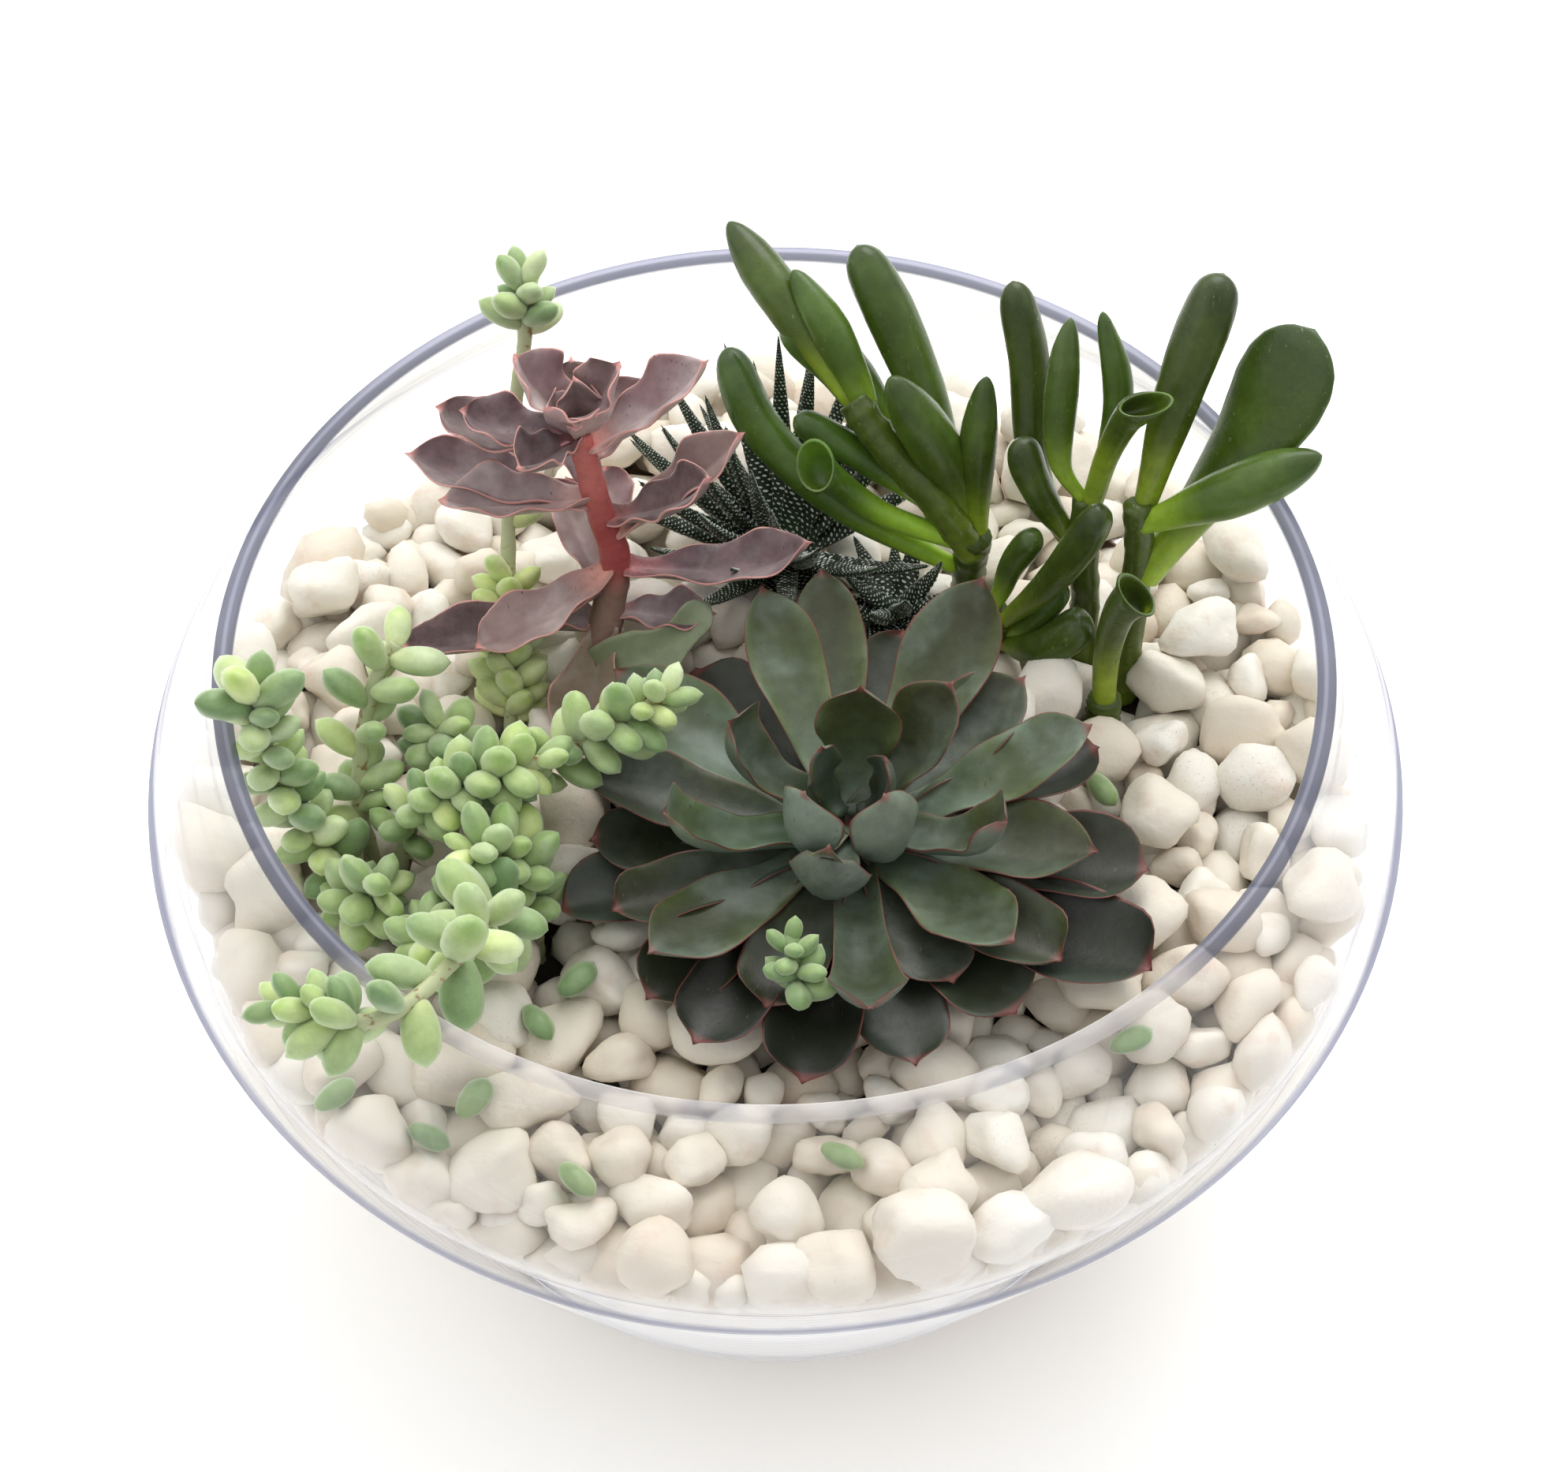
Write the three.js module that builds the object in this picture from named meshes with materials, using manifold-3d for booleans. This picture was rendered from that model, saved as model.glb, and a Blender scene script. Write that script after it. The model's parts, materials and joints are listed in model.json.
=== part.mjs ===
// Glass plant terrarium: a wide glass bowl, filled to its belly with white marble pebbles round a
// body of dark potting soil, and planted with succulents. Millimetres, +Z up. The origin is the
// centre of the bowl's foot, on the surface that it stands on, and every place below is in that frame.

import * as THREE from "three";
import { mergeVertices } from "three/addons/utils/BufferGeometryUtils.js";
import Module from "manifold-3d";

const wasm = await Module();
wasm.setup();

// Driving dimensions
const GAP = 0.3; // between two pieces that touch
const FOOT_RADIUS = 90;
const FOOT_BEVEL = 2;
const FOOT_GLASS = 8; // thickness of the glass under the pebbles
const BELLY_HEIGHT = 121;
const BELLY_CORNER = 149.8; // radius where the two cones of the wall would meet, before rounding
const BELLY_ROUNDING = 15; // height above and below the belly that the rounding takes
const MOUTH_RADIUS = 125;
const BOWL_HEIGHT = 167;
const WALL = 4.5; // measured level; 4 mm straight through the leaning wall
const BED_TOP = 112; // surface that the top pebbles are sunk into
const SOIL_OPENING = 60; // radius of the bare soil in the middle
const SOIL_RADIUS = 98;
const SOIL_FOOT = 66;
const BED_FLOOR = 20; // top of the pebbles under the soil
const ROOT_DEPTH = 12; // of every stem below BED_TOP
const ROOT_COLLAR = 5; // of every root above BED_TOP
const PEBBLE_SPACING = 27;
const PEBBLE_RADIUS = 14;
const PEBBLE_HOLLOW = 6.2; // how far the gaps between stones go in from the glass
const SEDUM_RADIUS = 1.8; // of the bare stem

const UP = new THREE.Vector3(0, 0, 1);
const GOLDEN_ANGLE = 2.39996;
const terrarium = new THREE.Group();
const planted = []; // the solids that later pieces keep clear of

// Solids

function vector([x, y, z]) {
  return new THREE.Vector3(x, y, z);
}

// An even draw between 0 and 1 that is always the same for the same number.
function draw(number) {
  const wave = Math.sin(number * 12.9898 + 4.1) * 43758.5453;
  return wave - Math.floor(wave);
}

function solid(geometry) {
  const bare = geometry.clone();
  bare.deleteAttribute("normal");
  bare.deleteAttribute("uv");
  const merged = mergeVertices(bare, 1e-4);
  const corners = merged.index.array;
  const faces = [];
  for (let i = 0; i < corners.length; i += 3) {
    const [a, b, c] = corners.slice(i, i + 3);
    if (a !== b && b !== c && c !== a) faces.push(a, b, c);
  }
  return new wasm.Manifold(
    new wasm.Mesh({
      numProp: 3,
      vertProperties: new Float32Array(merged.attributes.position.array),
      triVerts: new Uint32Array(faces),
    }),
  );
}

function fuse(parts) {
  return parts.reduce((whole, part) => whole.add(part));
}

function touches(body, others) {
  const box = body.boundingBox();
  return others.some((other) => {
    const near = other.boundingBox();
    const apart = [0, 1, 2].some(
      (k) => near.min[k] > box.max[k] || near.max[k] < box.min[k],
    );
    return !apart && !body.intersect(other).isEmpty();
  });
}

function addPiece(name, body, { color, roughness, ...rest }) {
  const mesh = body.getMesh();
  const geometry = new THREE.BufferGeometry();
  geometry.setAttribute("position", new THREE.BufferAttribute(mesh.vertProperties, 3));
  geometry.setIndex(new THREE.BufferAttribute(mesh.triVerts, 1));
  geometry.computeVertexNormals();
  const material = new THREE.MeshStandardMaterial({ color, roughness, metalness: 0, ...rest });
  const piece = new THREE.Mesh(geometry, material);
  piece.name = name;
  terrarium.add(piece);
}

function addPlant(name, parts, look) {
  const body = fuse(parts);
  planted.push(body);
  addPiece(name, body, look);
}

// A closed body turned about the Z axis, from its outline of [radius, height] points.
function turned(outline, sides) {
  const points = outline.map(([radius, height]) => new THREE.Vector2(radius, height));
  return new THREE.LatheGeometry(points, sides).rotateX(Math.PI / 2);
}

// A leaf or stalk: a ball drawn out along a line, its rings flattened to a lens and dished.
// With a mouth, the far end is sunk back to that share of the line, as in a trumpet.
function drawnOut(line, leaf) {
  const { width, thick, outline, dish = 0, face = UP, sides = 4, rings = 6, mouth } = leaf;
  const ball = new THREE.SphereGeometry(1, sides, rings);
  const place = ball.attributes.position;
  const point = new THREE.Vector3();
  for (let i = 0; i < place.count; i += 1) {
    const share = Math.acos(THREE.MathUtils.clamp(-place.getY(i), -1, 1)) / Math.PI;
    const atEnd = share > 0.99;
    const stretched = atEnd ? mouth : (share * rings) / (rings - 1);
    const along = THREE.MathUtils.clamp(mouth === undefined ? share : stretched, 0, 1);
    const turn = Math.atan2(place.getZ(i), place.getX(i));
    const ahead = line.getTangent(along);
    const normal = face.clone().addScaledVector(ahead, -face.dot(ahead)).normalize();
    const side = new THREE.Vector3().crossVectors(ahead, normal);
    const size = atEnd || share < 0.01 ? 0 : outline(along);
    const across = (Math.cos(turn) * width * size) / 2;
    const through = (Math.sin(turn) * thick * size) / 2 + dish * Math.abs(across);
    point.copy(line.getPoint(along)).addScaledVector(side, across).addScaledVector(normal, through);
    place.setXYZ(i, point.x, point.y, point.z);
  }
  return solid(ball);
}

// Outlines: the share of the full width at each share of a leaf's length.
const spoon = (t) => Math.sin(Math.PI * t ** 1.7) ** 0.6;
const finger = (t) => Math.sin(Math.PI * t ** 1.35) ** 0.38;
const paddle = (t) => Math.sin(Math.PI * t ** 2.3) ** 0.62;
const spike = (t) => Math.sin(Math.PI * t ** 0.55) ** 0.8;
const trumpet = (t) => 0.45 + 0.55 * t ** 1.5;

// A bare stem of even thickness along a line.
function stem(points, radius, steps = 5) {
  const ring = new THREE.Shape(
    [0, 1, 2, 3, 4].map((k) => {
      const turn = (k * Math.PI) / 2.5;
      return new THREE.Vector2(radius * Math.cos(turn), radius * Math.sin(turn));
    }),
  );
  const line = new THREE.CatmullRomCurve3(points.map(vector));
  return solid(new THREE.ExtrudeGeometry(ring, { steps, extrudePath: line }));
}

function post(x, y, low, high, radius) {
  const height = high - low;
  const rod = new THREE.CylinderGeometry(radius, radius, height, 5).rotateX(Math.PI / 2);
  return solid(rod.translate(x, y, low + height / 2));
}

// Every root stands in a plain hole; the holes are cut from the soil and the pebbles at the end.
const holes = [];

function root(x, y, radius) {
  const bottom = BED_TOP - ROOT_DEPTH;
  holes.push(post(x, y, bottom - GAP, BED_TOP + 2, radius + 1.25 * GAP));
  return post(x, y, bottom, BED_TOP + ROOT_COLLAR, radius);
}

// Glass bowl

const lowerCone = (z) => FOOT_RADIUS + ((BELLY_CORNER - FOOT_RADIUS) * z) / BELLY_HEIGHT;
const upperCone = (z) =>
  MOUTH_RADIUS + ((BELLY_CORNER - MOUTH_RADIUS) * (BOWL_HEIGHT - z)) / (BOWL_HEIGHT - BELLY_HEIGHT);

// The rounded belly, from its lower to its upper end, a level distance inside the outer face.
function belly(inset) {
  const low = BELLY_HEIGHT - BELLY_ROUNDING;
  const high = BELLY_HEIGHT + BELLY_ROUNDING;
  const curve = new THREE.QuadraticBezierCurve(
    new THREE.Vector2(lowerCone(low) - inset, low),
    new THREE.Vector2(BELLY_CORNER - inset, BELLY_HEIGHT),
    new THREE.Vector2(upperCone(high) - inset, high),
  );
  return curve.getPoints(4).map((p) => [p.x, p.y]);
}

function glassBowl() {
  const lip = WALL / 2;
  const outline = [
    [0, 0],
    [FOOT_RADIUS - FOOT_BEVEL, 0],
    [lowerCone(FOOT_BEVEL), FOOT_BEVEL],
    ...belly(0),
    [upperCone(BOWL_HEIGHT - lip), BOWL_HEIGHT - lip],
    [MOUTH_RADIUS - lip, BOWL_HEIGHT],
    [upperCone(BOWL_HEIGHT - lip) - WALL, BOWL_HEIGHT - lip],
    ...belly(WALL).reverse(),
    [lowerCone(FOOT_GLASS + 4) - WALL, FOOT_GLASS + 4],
    [FOOT_RADIUS - 2 * WALL, FOOT_GLASS],
    [0, FOOT_GLASS],
  ];
  return solid(turned(outline, 36));
}

const bowl = glassBowl();
planted.push(bowl);
const clearGlass = { color: 0xeef2f6, roughness: 0.03, transparent: true, opacity: 0.35 };
addPiece("glass_bowl", bowl, clearGlass);

// Big grey-green rosette

const ROSETTE_HEART = [17, -27, 138];
// Each leaf: turn about the heart in degrees, reach and rise of its tip from the heart, and width.
// The leaves of the heart also say how far out their backs bulge.
const ROSETTE_LEAVES = [
  [-104, 20, 13, 20, 32], [-132, 15, 17, 18, 21], [-58, 14, 15, 18, 23], [82, 19, 25, 19, 15],
  [20, 9, 17, 10, 11], [140, 9, 18, 10, 11], [40, 31, 23, 19], [164, 34, 20, 17],
  [-25, 42, 12, 17], [197, 48, 11, 16], [-47, 52, 2, 20], [221, 60, 0, 20],
  [-87, 62, 0, 19], [14, 57, 13, 18], [109, 62, 10, 17], [95, 67, 6, 17],
  [59, 64, 16, 22], [172, 62, 3, 19], [143, 68, 0, 20], [39, 53, 6, 20],
  [-14, 57, 2, 21], [-40, 60, -5, 20], [-63, 48, -6, 18], [-112, 52, -7, 19],
  [-11, 68, -7, 23], [-29, 74, -10, 24], [-54, 60, -11, 22], [-78, 63, -12, 20],
  [-100, 66, -12, 21], [-122, 66, -11, 20], [205, 59, -1, 17], [184, 59, -7, 18],
  [196, 68, -12, 20], [126, 60, -6, 19], [76, 56, -5, 18], [22, 62, -8, 20],
  [-137, 62, -13, 20], [157, 66, -11, 19],
];

// Leaves that leave one heart: the long outer ones start lower on the stem than the inner ones.
function rosetteLeaf(heart, [turn, reach, rise, width, bulge], { drop, thick, dish }) {
  const angle = THREE.MathUtils.degToRad(turn);
  const out = new THREE.Vector3(Math.cos(angle), Math.sin(angle), 0);
  const low = -drop * (reach / 70);
  const at = (distance, height) => heart.clone().addScaledVector(out, distance).setZ(heart.z + height);
  const line = new THREE.QuadraticBezierCurve3(
    at(1.5, low),
    bulge ? at(bulge, low) : at(reach * 0.55 + 4, low + (rise - low) * 0.4 - 1),
    at(reach, rise),
  );
  const face = UP.clone().addScaledVector(out, -0.7);
  return drawnOut(line, { width, thick, outline: spoon, dish, face, rings: 5 });
}

function bigRosette() {
  const heart = vector(ROSETTE_HEART);
  const [x, y, z] = ROSETTE_HEART;
  const leaves = ROSETTE_LEAVES.map((leaf) =>
    rosetteLeaf(heart, leaf, { drop: 9, thick: 3.4, dish: 0.22 }),
  );
  return [root(x, y, 6), post(x, y, BED_TOP + 1, z + 4, 5), ...leaves];
}

addPlant("echeveria_rosette", bigRosette(), { color: 0x5d6f66, roughness: 0.6 });

// Purple echeveria on its own stem

const PURPLE_STEM = [
  [-45, 22, 114], [-42, 26, 128], [-39, 33, 140], [-37, 38, 152], [-40, 42, 164], [-43, 46, 178],
  [-45, 50, 190],
];
// Each leaf: where it leaves the stem, where its tip is, and its width.
const PURPLE_LEAVES = [
  [[-43, 46, 181], [-78, 60, 177], 14], [[-44, 46, 184], [-72, 51, 186], 13],
  [[-40, 42, 166], [-86, 58, 165], 14], [[-40, 43, 168], [-77, 43, 166], 14],
  [[-37, 37, 151], [-69, 15, 145], 14], [[-38, 35, 146], [-88, 25, 131], 13],
  [[-44, 48, 185], [-60, 55, 202], 14], [[-44, 48, 185], [-34, 53, 202], 13],
  [[-44, 47, 184], [-58, 34, 186], 12], [[-43, 46, 180], [-13, 56, 198], 13],
  [[-38, 40, 158], [-6, 49, 182], 13], [[-39, 41, 162], [-12, 38, 177], 13],
  [[-37, 37, 150], [11, 34, 156], 13], [[-39, 33, 139], [-14, 31, 139], 11],
  [[-40, 31, 136], [-56, 39, 129], 12], [[-39, 32, 138], [-48, 8, 121], 14],
  [[-44, 48, 185], [-46, 63, 193], 12], [[-43, 46, 176], [-28, 66, 182], 12],
  [[-40, 43, 166], [-52, 72, 168], 12], [[-38, 39, 156], [-40, 66, 150], 12],
  [[-39, 34, 142], [-50, 70, 141], 12],
];

function purpleLeaf([from, to, width]) {
  const start = vector(from);
  const tip = vector(to);
  const middle = start.clone().lerp(tip, 0.55);
  middle.z -= start.distanceTo(tip) * 0.16;
  const out = tip.clone().sub(start).setZ(0).normalize();
  const face = UP.clone().addScaledVector(out, -0.5);
  const line = new THREE.QuadraticBezierCurve3(start, middle, tip);
  return drawnOut(line, { width, thick: 3, outline: spoon, dish: 0.35, face, rings: 5 });
}

// The small folded green leaf that leans on the foot of the stem.
const FOLDED_LEAF = [[-47, 24, 123], [-39, 21, 133], [-29, 24, 132], [-15, 31, 145]];

function foldedLeaf() {
  const line = new THREE.CatmullRomCurve3(FOLDED_LEAF.map(vector));
  return drawnOut(line, { width: 13, thick: 6, outline: finger });
}

function purpleEcheveria() {
  const [[x, y]] = PURPLE_STEM;
  return [root(x, y, 5), stem(PURPLE_STEM, 4, 8), foldedLeaf(), ...PURPLE_LEAVES.map(purpleLeaf)];
}

addPlant("echeveria_purple", purpleEcheveria(), { color: 0x8d7078, roughness: 0.6 });

// Finger jade: clumps of tube leaves

// A leaf along three or four points, of a given thickness; some end in a trumpet mouth or a paddle.
function jadeLeaf([points, thick, shape = finger]) {
  const line = new THREE.CatmullRomCurve3(points.map(vector));
  if (shape === trumpet) {
    return drawnOut(line, { width: thick, thick, outline: trumpet, sides: 5, rings: 5, mouth: 0.85 });
  }
  const width = shape === paddle ? thick * 2.2 : thick;
  return drawnOut(line, { width, thick, outline: shape, sides: 5, rings: 5 });
}

const JADE_BACK = {
  stems: [
    [[47, 55, 114], [47, 53, 132], [48, 51, 144]],
    [[48, 51, 138], [39, 54, 152], [26, 63, 164], [19, 70, 171]],
  ],
  radius: 4,
  leaves: [
    [[[20, 70, 168], [4, 88, 184], [-10, 108, 192]], 13],
    [[[26, 65, 162], [15, 79, 182], [5, 92, 192]], 11],
    [[[34, 62, 154], [17, 79, 172], [3, 87, 182]], 15],
    [[[46, 50, 142], [34, 78, 172], [20, 98, 194]], 14],
    [[[49, 51, 134], [42, 60, 156], [27, 65, 184]], 16],
    [[[46, 52, 130], [17, 59, 146], [-3, 74, 158], [-11, 90, 168]], 12],
    [[[49, 51, 138], [48, 60, 162], [50, 69, 180]], 10],
    [[[47, 52, 140], [26, 53, 150], [11, 57, 166]], 11, trumpet],
    [[[41, 56, 146], [19, 66, 158], [5, 69, 166]], 10],
  ],
};
const JADE_RIGHT_INNER = {
  stems: [[[74, 38, 114], [74, 41, 132], [73, 42, 148], [73, 47, 162]]],
  radius: 3.4,
  leaves: [
    [[[72, 43, 144], [62, 56, 160], [60, 75, 180], [56, 86, 194]], 11],
    [[[73, 46, 161], [67, 50, 170], [67, 62, 186], [69, 72, 196]], 9],
    [[[74, 47, 160], [80, 60, 182], [76, 72, 198]], 8],
    [[[74, 46, 159], [77, 46, 180], [82, 46, 199]], 10, trumpet],
    [[[73, 43, 146], [62, 49, 162], [57, 55, 174]], 10],
  ],
};
const JADE_RIGHT_OUTER = {
  stems: [[[84, 34, 114], [85, 35, 140], [85, 38, 158], [84, 39, 168]]],
  radius: 3.4,
  leaves: [
    [[[85, 39, 163], [93, 54, 190], [103, 72, 210]], 14],
    [[[85, 35, 144], [102, 44, 168], [112, 49, 184], [121, 58, 202]], 11, paddle],
    [[[84, 38, 162], [104, 34, 178], [124, 34, 190]], 14],
  ],
};
const JADE_RIGHT_FRONT = {
  stems: [[[53, 41, 114], [53, 37, 126], [52, 35, 134]]],
  radius: 4,
  leaves: [
    [[[53, 35, 130], [64, 31, 150], [76, 31, 176]], 11],
    [[[52, 37, 133], [56, 40, 146], [61, 38, 159]], 9],
    [[[53, 37, 126], [60, 34, 132], [68, 39, 142]], 10],
    [[[53, 37, 122], [64, 27, 132], [74, 28, 141]], 12],
  ],
};
const JADE_TUBE = {
  stems: [[[78, 18, 114], [78, 19, 122]]],
  radius: 4,
  leaves: [[[[78, 18, 116], [78, 22, 134], [80, 22, 150], [84, 23, 160]], 12, trumpet]],
};

function addJade(name, { stems, radius, leaves }) {
  const [[[x, y]]] = stems;
  const parts = [root(x, y, radius + 0.6), ...stems.map((line) => stem(line, radius, 4))];
  addPlant(name, [...parts, ...leaves.map(jadeLeaf)], { color: 0x3f7a2e, roughness: 0.3 });
}

addJade("jade_back", JADE_BACK);
addJade("jade_right_inner", JADE_RIGHT_INNER);
addJade("jade_right_outer", JADE_RIGHT_OUTER);
addJade("jade_right_front", JADE_RIGHT_FRONT);
addJade("jade_tube_leaf", JADE_TUBE);

// Haworthias: tapering leaves from one heart, left out where a neighbour already stands

const HAWORTHIAS = [
  { name: "haworthia_large", heart: [3, 67, 122], reach: 40, leaves: 20 },
  { name: "haworthia_small", heart: [30, 47, 122], reach: 23, leaves: 12 },
];

function haworthia({ heart: [x, y, z], reach, leaves }) {
  const parts = [root(x, y, 4.5), post(x, y, BED_TOP + 1, z + 4, 4)];
  for (let i = 0; i < leaves; i += 1) {
    const share = (i + 0.5) / leaves; // 0 for the upright heart leaves, 1 for the outer ones
    const angle = i * GOLDEN_ANGLE;
    const lean = THREE.MathUtils.degToRad(18 + 62 * share ** 0.7);
    const length = reach * (0.55 + 0.45 * Math.sin(Math.PI * (0.25 + 0.55 * share)));
    const out = new THREE.Vector3(Math.cos(angle), Math.sin(angle), 0);
    const start = new THREE.Vector3(x, y, z - 4 * share);
    const tip = start.clone().addScaledVector(out, length * Math.sin(lean));
    tip.z += length * Math.cos(lean);
    const middle = start.clone().lerp(tip, 0.5);
    middle.z += length * 0.06;
    const line = new THREE.QuadraticBezierCurve3(start, middle, tip);
    const face = UP.clone().addScaledVector(out, -1);
    const blade = drawnOut(line, { width: 8, thick: 4, outline: spike, face, rings: 3 });
    if (!touches(blade, planted)) parts.push(blade);
  }
  return parts;
}

HAWORTHIAS.forEach((plant) => {
  addPlant(plant.name, haworthia(plant), { color: 0x25402b, roughness: 0.5 });
});

// Sedum: plump leaves round trailing stems, left out where a neighbour already stands

// Each stem: its line, and sprays of leaves as [from, to, count, leaf length] along it.
const SEDUMS = {
  sedum_tall: {
    line: [
      [-63, 16, 114], [-62, 27, 123], [-63, 43, 134], [-63, 60, 147], [-61, 73, 165], [-58, 83, 180],
      [-58, 90, 192],
    ],
    sprays: [[0.06, 0.3, 8, 14], [0.44, 0.52, 2, 12], [0.84, 1, 6, 14]],
  },
  sedum_hanging: {
    line: [
      [-58, -31, 114], [-62, -46, 132], [-63, -60, 146], [-65, -76, 160], [-70, -92, 171],
      [-77, -103, 175], [-85, -107, 175], [-93, -104, 174], [-104, -100, 171],
    ],
    sprays: [[0.16, 0.46, 6, 16], [0.5, 0.72, 2, 14], [0.76, 1, 7, 14]],
  },
  sedum_bare: {
    line: [
      [-94, -18, 114], [-96, -15, 128], [-95, -9, 138], [-93, -2, 147], [-90, 3, 154], [-86, 8, 158],
    ],
    sprays: [[0.3, 1, 7, 15]],
  },
  sedum_left: {
    line: [
      [-93, -28, 114], [-103, -26, 126], [-109, -24, 140], [-112, -23, 154], [-114, -22, 168],
      [-115, -20, 174],
    ],
    sprays: [[0.12, 0.84, 10, 14], [0.88, 1, 3, 16]],
  },
  sedum_arm: {
    line: [
      [-68, -20, 114], [-60, -17, 136], [-50, -16, 147], [-39, -15, 154], [-31, -14, 159],
      [-24, -12, 164],
    ],
    sprays: [[0.14, 1, 10, 13]],
  },
  sedum_dense: {
    line: [[-55, -42, 114], [-56, -41, 132], [-60, -41, 143], [-67, -45, 150]],
    sprays: [[0.2, 1, 10, 14]],
  },
  sedum_middle: {
    line: [[-87, -23, 114], [-81, -24, 136], [-73, -26, 146], [-64, -25, 151], [-52, -24, 155]],
    sprays: [[0.2, 1, 10, 14]],
  },
  sedum_low_left: {
    line: [[-95, -34, 114], [-94, -41, 126], [-89, -43, 134]],
    sprays: [[0.3, 1, 7, 13]],
  },
  sedum_low_front: {
    line: [[-74, -46, 114], [-77, -53, 126], [-77, -58, 134]],
    sprays: [[0.3, 1, 7, 13]],
  },
  sedum_back: {
    line: [[-78, -5, 114], [-75, -3, 128], [-77, -2, 140]],
    sprays: [[0.25, 1, 6, 13]],
  },
};

// A plump leaf: a five-sided drop, slim where it leaves the stem and pointed at the tip.
function sedumLeaf(centre, ahead, length) {
  const drop = new THREE.SphereGeometry(1, 5, 3);
  const place = drop.attributes.position;
  for (let i = 0; i < place.count; i += 1) {
    const along = place.getY(i);
    const girth = length * (along < 0 ? 0.19 : 0.34);
    place.setXYZ(i, place.getX(i) * girth, (along * length) / 2, place.getZ(i) * girth);
  }
  const turn = new THREE.Quaternion().setFromUnitVectors(new THREE.Vector3(0, 1, 0), ahead);
  return solid(drop.applyQuaternion(turn).translate(centre.x, centre.y, centre.z));
}

// The leaves of one spray. Each is turned on round the stem until it is clear of its neighbours
// outside the stem, and left out where there is no room.
function sedumSpray(line, [from, to, count, length]) {
  const leaning = vector([0.31, 0.22, 0.93]); // a line that no stem runs along
  const leaves = [];
  const tips = [];
  for (let i = 0; i < count; i += 1) {
    const along = THREE.MathUtils.lerp(from, to, (i + 0.5) / count);
    const ahead = line.getTangent(along);
    const lean = along > 0.95 ? 1.6 : 0.55;
    for (let turn = 0; turn < 4; turn += 1) {
      const side = new THREE.Vector3().crossVectors(ahead, leaning).normalize();
      side.applyAxisAngle(ahead, i * 2.4 + turn * 0.9);
      const out = side.addScaledVector(ahead, lean).normalize();
      const foot = line.getPoint(along);
      const leaf = sedumLeaf(foot.clone().addScaledVector(out, length * 0.5), out, length);
      const tip = sedumLeaf(foot.clone().addScaledVector(out, length * 0.7), out, length * 0.55);
      if (touches(leaf, planted) || touches(tip, tips)) continue;
      leaves.push(leaf);
      tips.push(tip);
      break;
    }
  }
  return leaves;
}

Object.entries(SEDUMS).forEach(([name, { line: points, sprays }]) => {
  const line = new THREE.CatmullRomCurve3(points.map(vector));
  const [[x, y]] = points;
  const leaves = sprays.flatMap((spray) => sedumSpray(line, spray));
  const stalk = stem(points, SEDUM_RADIUS, points.length);
  const parts = [root(x, y, SEDUM_RADIUS + 0.5), stalk, ...leaves];
  addPlant(name, parts, { color: 0xa3c47a, roughness: 0.5 });
});

// Potting soil: a body that widens upwards, bare and crumbly in the middle, with the root holes

function pottingSoil() {
  const under = BED_TOP - 8 - GAP; // below the pebbles that overlie its edge
  const outline = [
    [0, BED_FLOOR + GAP],
    [SOIL_FOOT - 2 * GAP, BED_FLOOR + GAP],
    [SOIL_RADIUS - 2.5 * GAP, under],
    [SOIL_OPENING - 2 * GAP, under],
    [SOIL_OPENING - 2 * GAP - 1, BED_TOP - 2],
    [40, BED_TOP - 0.5],
    [20, BED_TOP + 0.5],
    [0, BED_TOP],
  ];
  const body = turned(outline, 18);
  const place = body.attributes.position;
  for (let i = 0; i < place.count; i += 1) {
    const [x, y, z] = [place.getX(i), place.getY(i), place.getZ(i)];
    const crumb = 0.9 * Math.sin(0.41 * x + 0.23 * y) * Math.cos(0.35 * y - 0.19 * x);
    if (z > BED_TOP - 3) place.setZ(i, z + crumb);
  }
  return holes.reduce((rest, hole) => rest.subtract(hole), solid(body));
}

const soil = pottingSoil();
planted.push(soil);
addPiece("potting_soil", soil, { color: 0x2a211c, roughness: 0.95 });

// Pebble bed: rounded marble stones, heaped under and round the soil and up to the belly

// The mass below the top stones; its outer face, against the glass, bulges stone by stone.
function pebbleMass() {
  const wall = (z) => [lowerCone(z) - WALL - 2 * GAP, z];
  const rows = [FOOT_GLASS + 6, 32, 50, 68, 86, BED_TOP - 6].map(wall);
  const outline = [
    [0, FOOT_GLASS + GAP],
    [FOOT_RADIUS - 2 * WALL - 3, FOOT_GLASS + GAP],
    ...rows,
    [lowerCone(BED_TOP - 6) - WALL - 4, BED_TOP],
    [SOIL_OPENING, BED_TOP],
    [SOIL_OPENING, BED_TOP - 8],
    [SOIL_RADIUS, BED_TOP - 8],
    [SOIL_FOOT, BED_FLOOR],
    [0, BED_FLOOR],
  ];
  const body = turned(outline, 36);
  const place = body.attributes.position;
  for (let i = 0; i < place.count; i += 1) {
    const [x, y, z] = [place.getX(i), place.getY(i), place.getZ(i)];
    const radius = Math.hypot(x, y);
    const inRow = ([reach, height]) => Math.abs(height - z) < 0.01 && Math.abs(reach - radius) < 0.1;
    const row = rows.findIndex(inRow);
    if (row < 0) continue;
    const hollow = PEBBLE_HOLLOW * (0.5 - 0.5 * Math.cos(18 * Math.atan2(y, x) + Math.PI * row));
    const inward = (radius - hollow) / radius;
    place.setXYZ(i, x * inward, y * inward, z);
  }
  return solid(body);
}

function pebble(index, x, y, z, radius) {
  const length = 0.85 + 0.35 * draw(index + 0.1);
  const width = 0.85 + 0.3 * draw(index + 0.2);
  const height = 0.72 + 0.16 * draw(index + 0.3);
  const stone = new THREE.IcosahedronGeometry(radius, 0).scale(length, width, height);
  stone.rotateX(0.5 * draw(index + 0.4) - 0.25).rotateZ(6.3 * draw(index + 0.5));
  return solid(stone.translate(x, y, z));
}

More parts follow.
